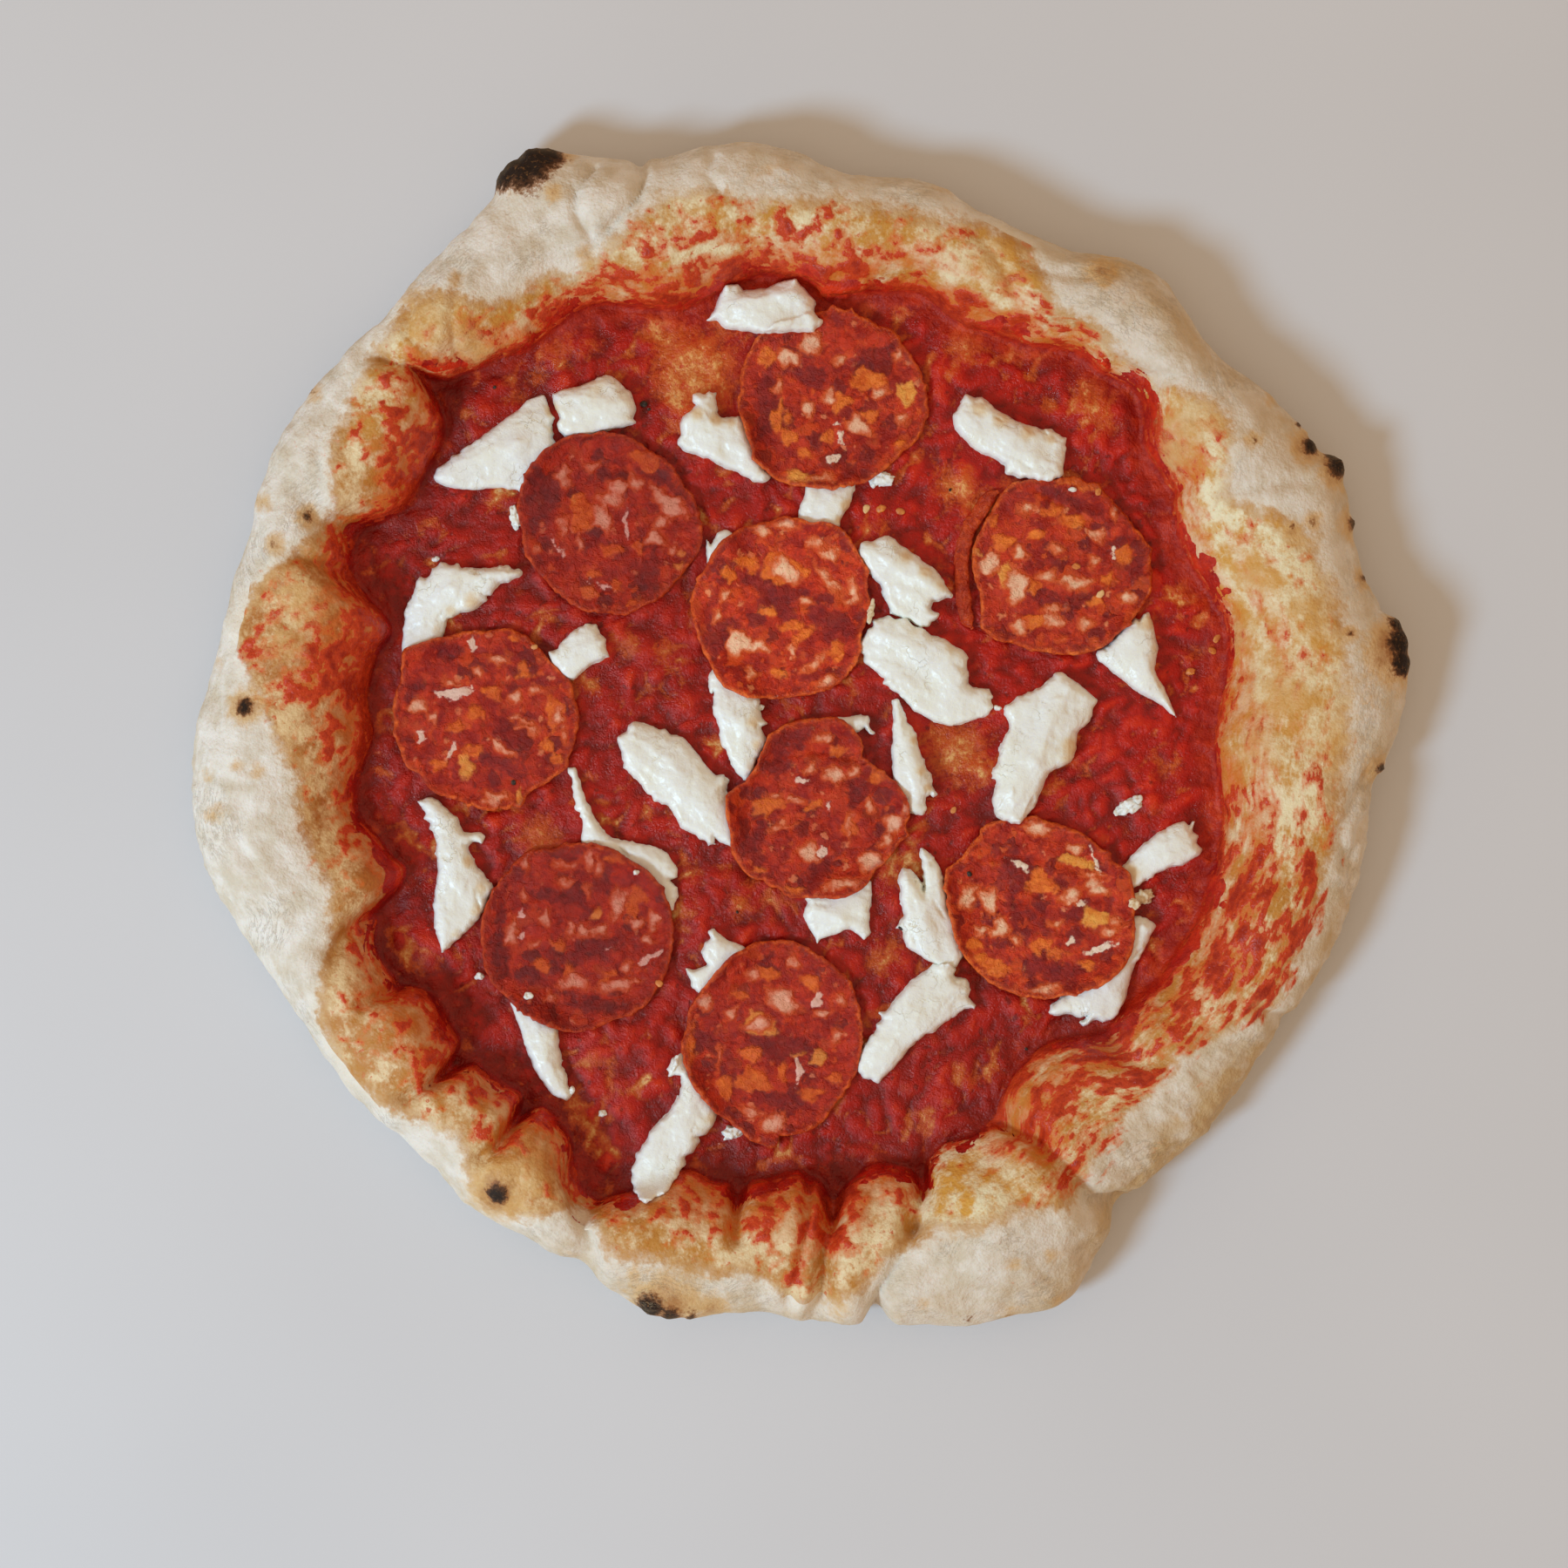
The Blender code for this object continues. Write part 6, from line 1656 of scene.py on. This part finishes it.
    # Short creases in the floury skin, painted darker as shade in them.
    crease = k.ease(k.math("ABSOLUTE", k.noise(3.6, 4, 0.65, vector=flow, shift=63)), 0.12, 0.0)
    crease = k.times(k.times(crease, out), k.ease(k.noise(15, 2, shift=65), -0.3, 0.5))
    color = k.mix(k.times(crease, 0.30), color, seen(182, 158, 126))
    relief = k.add(k.times(k.noise(0.8, 3, 0.6, shift=37), 0.5), k.times(k.noise(2.2, 2, 0.5, shift=41), 0.8),
                   k.times(k.times(wrinkle, out), 0.35), k.times(wet, 0.9), k.times(crease, -0.45))
    return k.give(color, rough, k.bump(relief, 0.16))


def sauce_look():
    k = Look("tomato_pulp", Specular_IOR_Level=0.42, Specular_Tint=(1.0, 0.88, 0.80, 1.0))
    k.glow(0.03, (1.0, 0.2, 0.1), 0.001)
    thin, stands = k.attr("thin"), k.attr("stands")
    winding = k.warped(3.5, 0.8)
    coarse, mid, fine = k.noise(9.5, 3, 0.6), k.noise(2.8, 5, 0.66, vector=winding, shift=2), k.noise(0.8, 3, 0.62, shift=4)
    # Lighter on the mounds, deep red in the valleys, and grainy: partly the pulp's own depth, partly painted light on
    # the mounds and painted shade in the valleys.
    up = k.add(k.times(stands, 1.1), k.times(mid, 0.32), k.times(coarse, 0.22), k.times(fine, 0.10))
    color = k.mix(k.ease(up, -0.7, 0.45), seen(108, 2, 4), seen(170, 14, 7))
    color = k.mix(k.ease(up, 0.15, 1.1, 0, 0.85), color, seen(208, 50, 14))
    # Orange oil between the lumps.
    oil = k.ease(k.add(k.noise(7.0, 4, 0.65, shift=8), k.times(mid, 0.4)), 0.30, 1.0, 0, 0.58)
    color = k.mix(k.times(oil, k.ease(k.attr("light"), 0.0, 0.9, 0.55, 1.0)), color, seen(194, 74, 18))
    cloud = k.noise(2.6, 4, 0.68, shift=18)
    t = k.add(thin, k.times(mid, 0.20), k.times(fine, 0.14), k.times(cloud, 0.16), 0.06)
    color = k.mix(k.ease(t, 0.36, 0.78, 0, 0.75), color, seen(192, 84, 26))
    # Where it is thinnest the dough shows: golden, with red specks and pale tops.
    bare = k.mix(k.ease(k.noise(1.5, 4, 0.68, shift=14), -0.5, 0.6), seen(192, 106, 42), seen(222, 172, 104))
    color = k.mix(k.ease(t, 0.70, 1.02, 0, 0.88), color, bare)
    color = k.mix(k.ease(t, 0.98, 1.30, 0, 0.75), color, seen(230, 202, 156))
    specks = k.cells(2.1, vector=k.warped(1.3, 0.8, 3.0, shift=16))
    speck = k.ease(k.math("SUBTRACT", k.add(specks.outputs["Distance"], k.times(fine, 0.12)), k.times(k.pick(specks), 0.40)), -0.12, 0.04, 1, 0)
    color = k.mix(k.times(speck, k.ease(t, 0.45, 0.8, 0, 0.8)), color, seen(184, 56, 22))
    # Bits of dark pulp, where it is thick.
    bits = k.cells(2.8, vector=winding)
    bit = k.times(k.ease(k.add(bits.outputs["Distance"], k.times(fine, 0.12)), 0.10, 0.34, 0.7, 0), k.ease(t, 0.6, 0.35))
    color = k.mix(k.times(bit, k.ease(k.pick(bits), 0.5, 0.65)), color, seen(96, 6, 8))
    color = k.shade(color, k.ease(k.attr("light"), 0.0, 1.0, 0.93, 1.12))
    # Thin pulp drawn up the foot of the rim is bright and duller in shine. Its brightness is strongest where the foot
    # faces the lamp: painted light.
    foot = k.attr("foot")
    drawn = k.mix(k.ease(k.add(mid, k.times(coarse, 0.5)), -0.9, 0.9), seen(156, 12, 7), seen(214, 60, 22))
    color = k.mix(k.times(foot, 0.60), color, drawn)
    # Wet in patches: there the fine relief catches small bright points.
    wet = k.ease(k.add(k.noise(6.5, 3, 0.6, shift=28), k.times(mid, 0.3)), -0.5, 0.5)
    rough = k.add(k.mix_value(wet, 0.34, 0.12), k.times(k.ease(t, 0.5, 1.1), 0.16), k.times(foot, 0.22))
    relief = k.add(k.times(mid, 0.55), k.times(fine, 0.36), k.times(k.noise(0.42, 2, 0.5, shift=6), 0.08))
    return k.give(color, rough, k.bump(relief, 0.27))


def salami_look():
    k = Look("spicy_salami", Specular_IOR_Level=0.48, Specular_Tint=(1.0, 0.86, 0.76, 1.0))
    k.glow(0.05, (1.0, 0.3, 0.15), 0.001)
    winding = k.warped(2.2, 1.15, 4.0)
    coarse, mid, fine = k.noise(6.0, 3, 0.6), k.noise(2.0, 5, 0.68, vector=winding, shift=2), k.noise(0.7, 3, 0.65, shift=4)
    # Lean pieces of many shades, pressed together with paprika fat between them.
    grain = k.cells(4.4, vector=winding)
    soft = k.times(k.ease(grain.outputs["Distance"], 0.62, 0.40), k.ease(fine, -1.2, 0.4, 0.6, 1.0))
    color = k.mix(k.ease(k.add(coarse, mid), -0.9, 0.9), seen(136, 14, 10), seen(188, 46, 16))
    color = k.mix(k.times(soft, k.ease(k.pick(grain, 1), 0.60, 0.70, 0, 0.8)), color, seen(98, 8, 16))
    color = k.mix(k.times(soft, k.ease(k.pick(grain, 2), 0.68, 0.80, 0, 0.6)), color, seen(206, 76, 20))
    color = k.mix(k.ease(mid, 0.15, 0.9, 0, 0.7), color, seen(208, 72, 22))
    color = k.mix(k.ease(mid, -0.2, -0.9, 0, 0.7), color, seen(100, 6, 9))
    between = k.cells(4.4, vector=winding, feature="DISTANCE_TO_EDGE")
    seam = k.ease(k.add(between.outputs["Distance"], k.times(fine, 0.04)), 0.0, 0.08, 1, 0)
    color = k.mix(k.times(seam, k.ease(coarse, -0.4, 0.8, 0.0, 0.5)), color, seen(204, 84, 38))
    # Many small bits of fat between the listed ones.
    crumb = k.cells(2.6, vector=k.warped(1.4, 0.75, 4.0, shift=31))
    size = k.ease(k.pick(crumb), 0.5, 1.0, -0.08, 0.34)
    small = k.ease(k.math("SUBTRACT", k.add(crumb.outputs["Distance"], k.times(fine, 0.12)), size), -0.10, 0.10, 1, 0)
    color = k.mix(k.times(small, 0.62), color, k.mix(k.ease(k.pick(crumb, 1), 0.3, 0.8), seen(208, 88, 32), seen(222, 144, 96)))

    rag = k.add(k.times(k.noise(2.0, 4, 0.74, shift=6), 0.62), k.times(fine, 0.16))

    def fleck(name, low, high, strength=1.0):
        return k.times(k.ease(k.add(k.attr(name), rag), low, high), strength)

    torn = k.add(k.attr("meat"), rag, k.times(k.noise(3.4, 3, 0.6, vector=winding, shift=38), 1.1))
    meat = k.ease(torn, -0.6, 0.7, 0, 0.86)
    color = k.mix(meat, color, k.mix(k.ease(mid, -0.8, 0.8), seen(94, 10, 18), seen(144, 24, 20)))
    orange = fleck("orange", -0.40, 0.5, 0.85)
    color = k.mix(orange, color, k.mix(k.ease(mid, -0.9, 0.9), seen(198, 72, 18), seen(232, 130, 44)))
    yellow = fleck("yellow", -0.4, 0.45, 0.85)
    color = k.mix(yellow, color, k.mix(k.ease(mid, -0.9, 0.9), seen(216, 118, 34), seen(240, 176, 84)))
    # Pale fat is stained orange at its edge and clouded inside.
    color = k.mix(fleck("pale", -0.75, -0.1, 0.7), color, seen(200, 78, 30))
    depth = k.ease(k.add(k.attr("pale"), k.times(rag, 0.9), k.times(k.noise(2.2, 3, 0.6, shift=35), 0.7)), -0.1, 1.5)
    cream = k.mix(depth, seen(202, 92, 44), seen(236, 186, 152))
    cream = k.mix(k.ease(k.noise(1.0, 4, 0.65, vector=winding, shift=21), 0.10, 0.75, 0, 0.65), cream, seen(198, 84, 40))
    pale = fleck("pale", -0.26, 0.20, 0.90)
    color = k.mix(pale, color, cream)
    white = fleck("white", -0.14, 0.24, 0.9)
    color = k.mix(white, color, seen(236, 208, 186))
    # The edge of the slice: orange casing with a darker line inside it.
    edge = k.add(k.attr("edge"), k.times(k.noise(2.0, 4, 0.65, shift=25), 0.75))
    color = k.mix(k.ease(edge, 2.4, 0.9, 0, 0.6), color, k.mix(k.ease(mid, -0.6, 0.6), seen(124, 20, 12), seen(186, 56, 18)))
    peeled = k.ease(k.noise(5.0, 3, 0.6, shift=39), -0.7, 0.3, 0.30, 1.0)
    color = k.mix(k.times(k.ease(edge, 1.15, 0.2, 0, 0.88), peeled), color,
                  k.mix(k.ease(mid, -0.6, 0.8), seen(180, 54, 16), seen(226, 118, 44)))
    # The darker slices are redder too.
    color = k.shade(color, k.attr("tint"))
    color = k.mix(k.ease(k.attr("tint"), 1.20, 0.90), color, (1.0, 0.60, 0.64), "MULTIPLY")
    rough = k.add(k.ease(mid, -1, 1, 0.10, 0.22), k.times(k.math("MAXIMUM", pale, white), 0.04))
    relief = k.add(k.times(mid, 0.9), k.times(fine, 0.30), k.times(k.noise(0.42, 2, 0.5, shift=27), 0.06),
                   k.times(pale, 0.7), k.times(small, 0.5), k.times(seam, -0.4), k.times(orange, 0.4))
    return k.give(color, rough, k.bump(relief, 0.25))


def mozzarella_look(name="torn_mozzarella", on_chunk=True):
    k = Look(name, Specular_IOR_Level=0.42)
    k.glow(0.28, (1.0, 0.95, 0.75), 0.0016)
    coarse, mid, fine = k.noise(8.0, 2), k.noise(2.2, 3, 0.55, shift=2), k.noise(0.8, 3, 0.6, shift=4)
    color = k.mix(k.ease(coarse, -0.9, 0.9), (0.94, 0.985, 0.965), (0.93, 0.955, 0.87))
    # Cream-brown: oily stain, and painted shade on the facets that face away from the lamp.
    beige_and_shade = k.add(k.attr("beige_and_shade"), k.times(mid, 0.14), k.times(fine, 0.05))
    color = k.mix(k.ease(beige_and_shade, 0.15, 0.75, 0, 0.75), color, seen(214, 184, 136))
    if on_chunk:
        low = k.add(k.attr("height"), k.times(mid, 0.25))
        color = k.mix(k.ease(low, 0.6, -0.1, 0, 0.6), color, seen(228, 170, 124))
    # A few fine yellowish fissures.
    crack = k.math("ABSOLUTE", k.noise(4.2, 3, 0.6, shift=9))
    where = k.ease(k.noise(9.0, 1, shift=10), 0.0, 0.7)
    line = k.times(k.ease(crack, 0.06, 0.0), where)
    color = k.mix(k.times(line, 0.4), color, seen(220, 196, 148))
    relief = k.add(k.times(mid, 0.45), k.times(fine, 0.24), k.times(line, -0.8))
    return k.give(color, k.ease(mid, -1, 1, 0.24, 0.36), k.bump(relief, 0.15))


def pepper_look():
    k = Look("black_pepper", Specular_IOR_Level=0.4)
    fine = k.noise(0.4, 3, 0.6)
    color = k.mix(k.ease(fine, -0.6, 0.8), seen(28, 22, 20), seen(84, 66, 52))
    return k.give(color, 0.55, k.bump(fine, 0.1))


def seed_look():
    k = Look("chilli_seed", Specular_IOR_Level=0.4)
    fine = k.noise(0.8, 3, 0.6)
    color = k.mix(k.ease(fine, -0.6, 0.8), seen(184, 88, 32), seen(214, 136, 58))
    color = k.mix(k.attr("pale"), color, seen(220, 180, 124))
    return k.give(color, 0.36, k.bump(fine, 0.06))


def wear(thing, material):
    thing.data.materials.clear()
    thing.data.materials.append(material)


salami_material = salami_look()
mozzarella_material = mozzarella_look()
wear(dough, dough_look())
wear(sauce, sauce_look())
wear(casing, salami_material)
wear(crumbs, mozzarella_look("mozzarella_crumb", on_chunk=False))
wear(pepper, pepper_look())
wear(seeds, seed_look())
for piece in slices.values():
    wear(piece, salami_material)
for piece in chunks.values():
    wear(piece, mozzarella_material)

# ------------------------------------------------------------- in the CAD frame
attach(dough, "root")
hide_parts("dough")
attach(sauce, "root")
for key, piece in slices.items():
    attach(piece, "root")
    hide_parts("salami_" + key)
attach(casing, "root")
for key, piece in chunks.items():
    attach(piece, "root")
    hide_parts("mozzarella_" + key)
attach(crumbs, "root")
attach(pepper, "root")
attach(seeds, "root")

# --------------------------------------------------- floor, light and the camera
scene = bpy.context.scene
floor = make("floor", np.array([[-2600.0, -2600, -0.05], [2600, -2600, -0.05], [2600, 2600, -0.05], [-2600, 2600, -0.05]]),
             [np.array([[0, 1, 2, 3]])], smooth=False)
k = Look("pale_floor", Specular_IOR_Level=0.1)
wear(floor, k.give(k.mix(k.ease(k.noise(180, 2), -1, 1), seen(199, 198, 199), seen(204, 203, 204)), 0.85))

# A warm room and a cooler lamp, which together light a level surface evenly.
world = bpy.data.worlds.new("soft_room")
world.use_nodes = True
world.node_tree.nodes["Background"].inputs["Color"].default_value = (1.0, 0.75, 0.51, 1)
world.node_tree.nodes["Background"].inputs["Strength"].default_value = 0.58
scene.world = world


def area_light(name, heading, elevation, distance, size, power, color):
    data = bpy.data.lights.new(name, "AREA")
    data.shape = "DISK"
    data.size = size
    data.energy = power
    data.color = color
    light = bpy.data.objects.new(name, data)
    a, e = math.radians(heading), math.radians(elevation)
    light.location = (distance * math.cos(a) * math.cos(e), distance * math.sin(a) * math.cos(e), distance * math.sin(e))
    light.rotation_euler = (Vector(light.location) - Vector((0, 0, 0.01))).to_track_quat("Z", "Y").to_euler()
    scene.collection.objects.link(light)
    return light


area_light("key", 214, 40, 1.6, 0.40, 16.4, (0.506, 0.78, 1.0))

focus = ((900 - ORIGIN[0]) * UNIT - CENTRE[0], (ORIGIN[1] - 900) * UNIT - CENTRE[1])
camera_data = bpy.data.cameras.new("above")
camera_data.sensor_width = 36
camera_data.lens = 36 * 1.1 / (1800 * UNIT * MM)
camera_data.clip_end = 20
camera = bpy.data.objects.new("above", camera_data)
camera.location = (focus[0] * MM, focus[1] * MM, 1.1 + 0.012)
camera.rotation_euler = (0, 0, 0)
scene.collection.objects.link(camera)
scene.camera = camera
scene.view_settings.view_transform = "Standard"
scene.view_settings.look = "None"

bpy.context.view_layer.update()
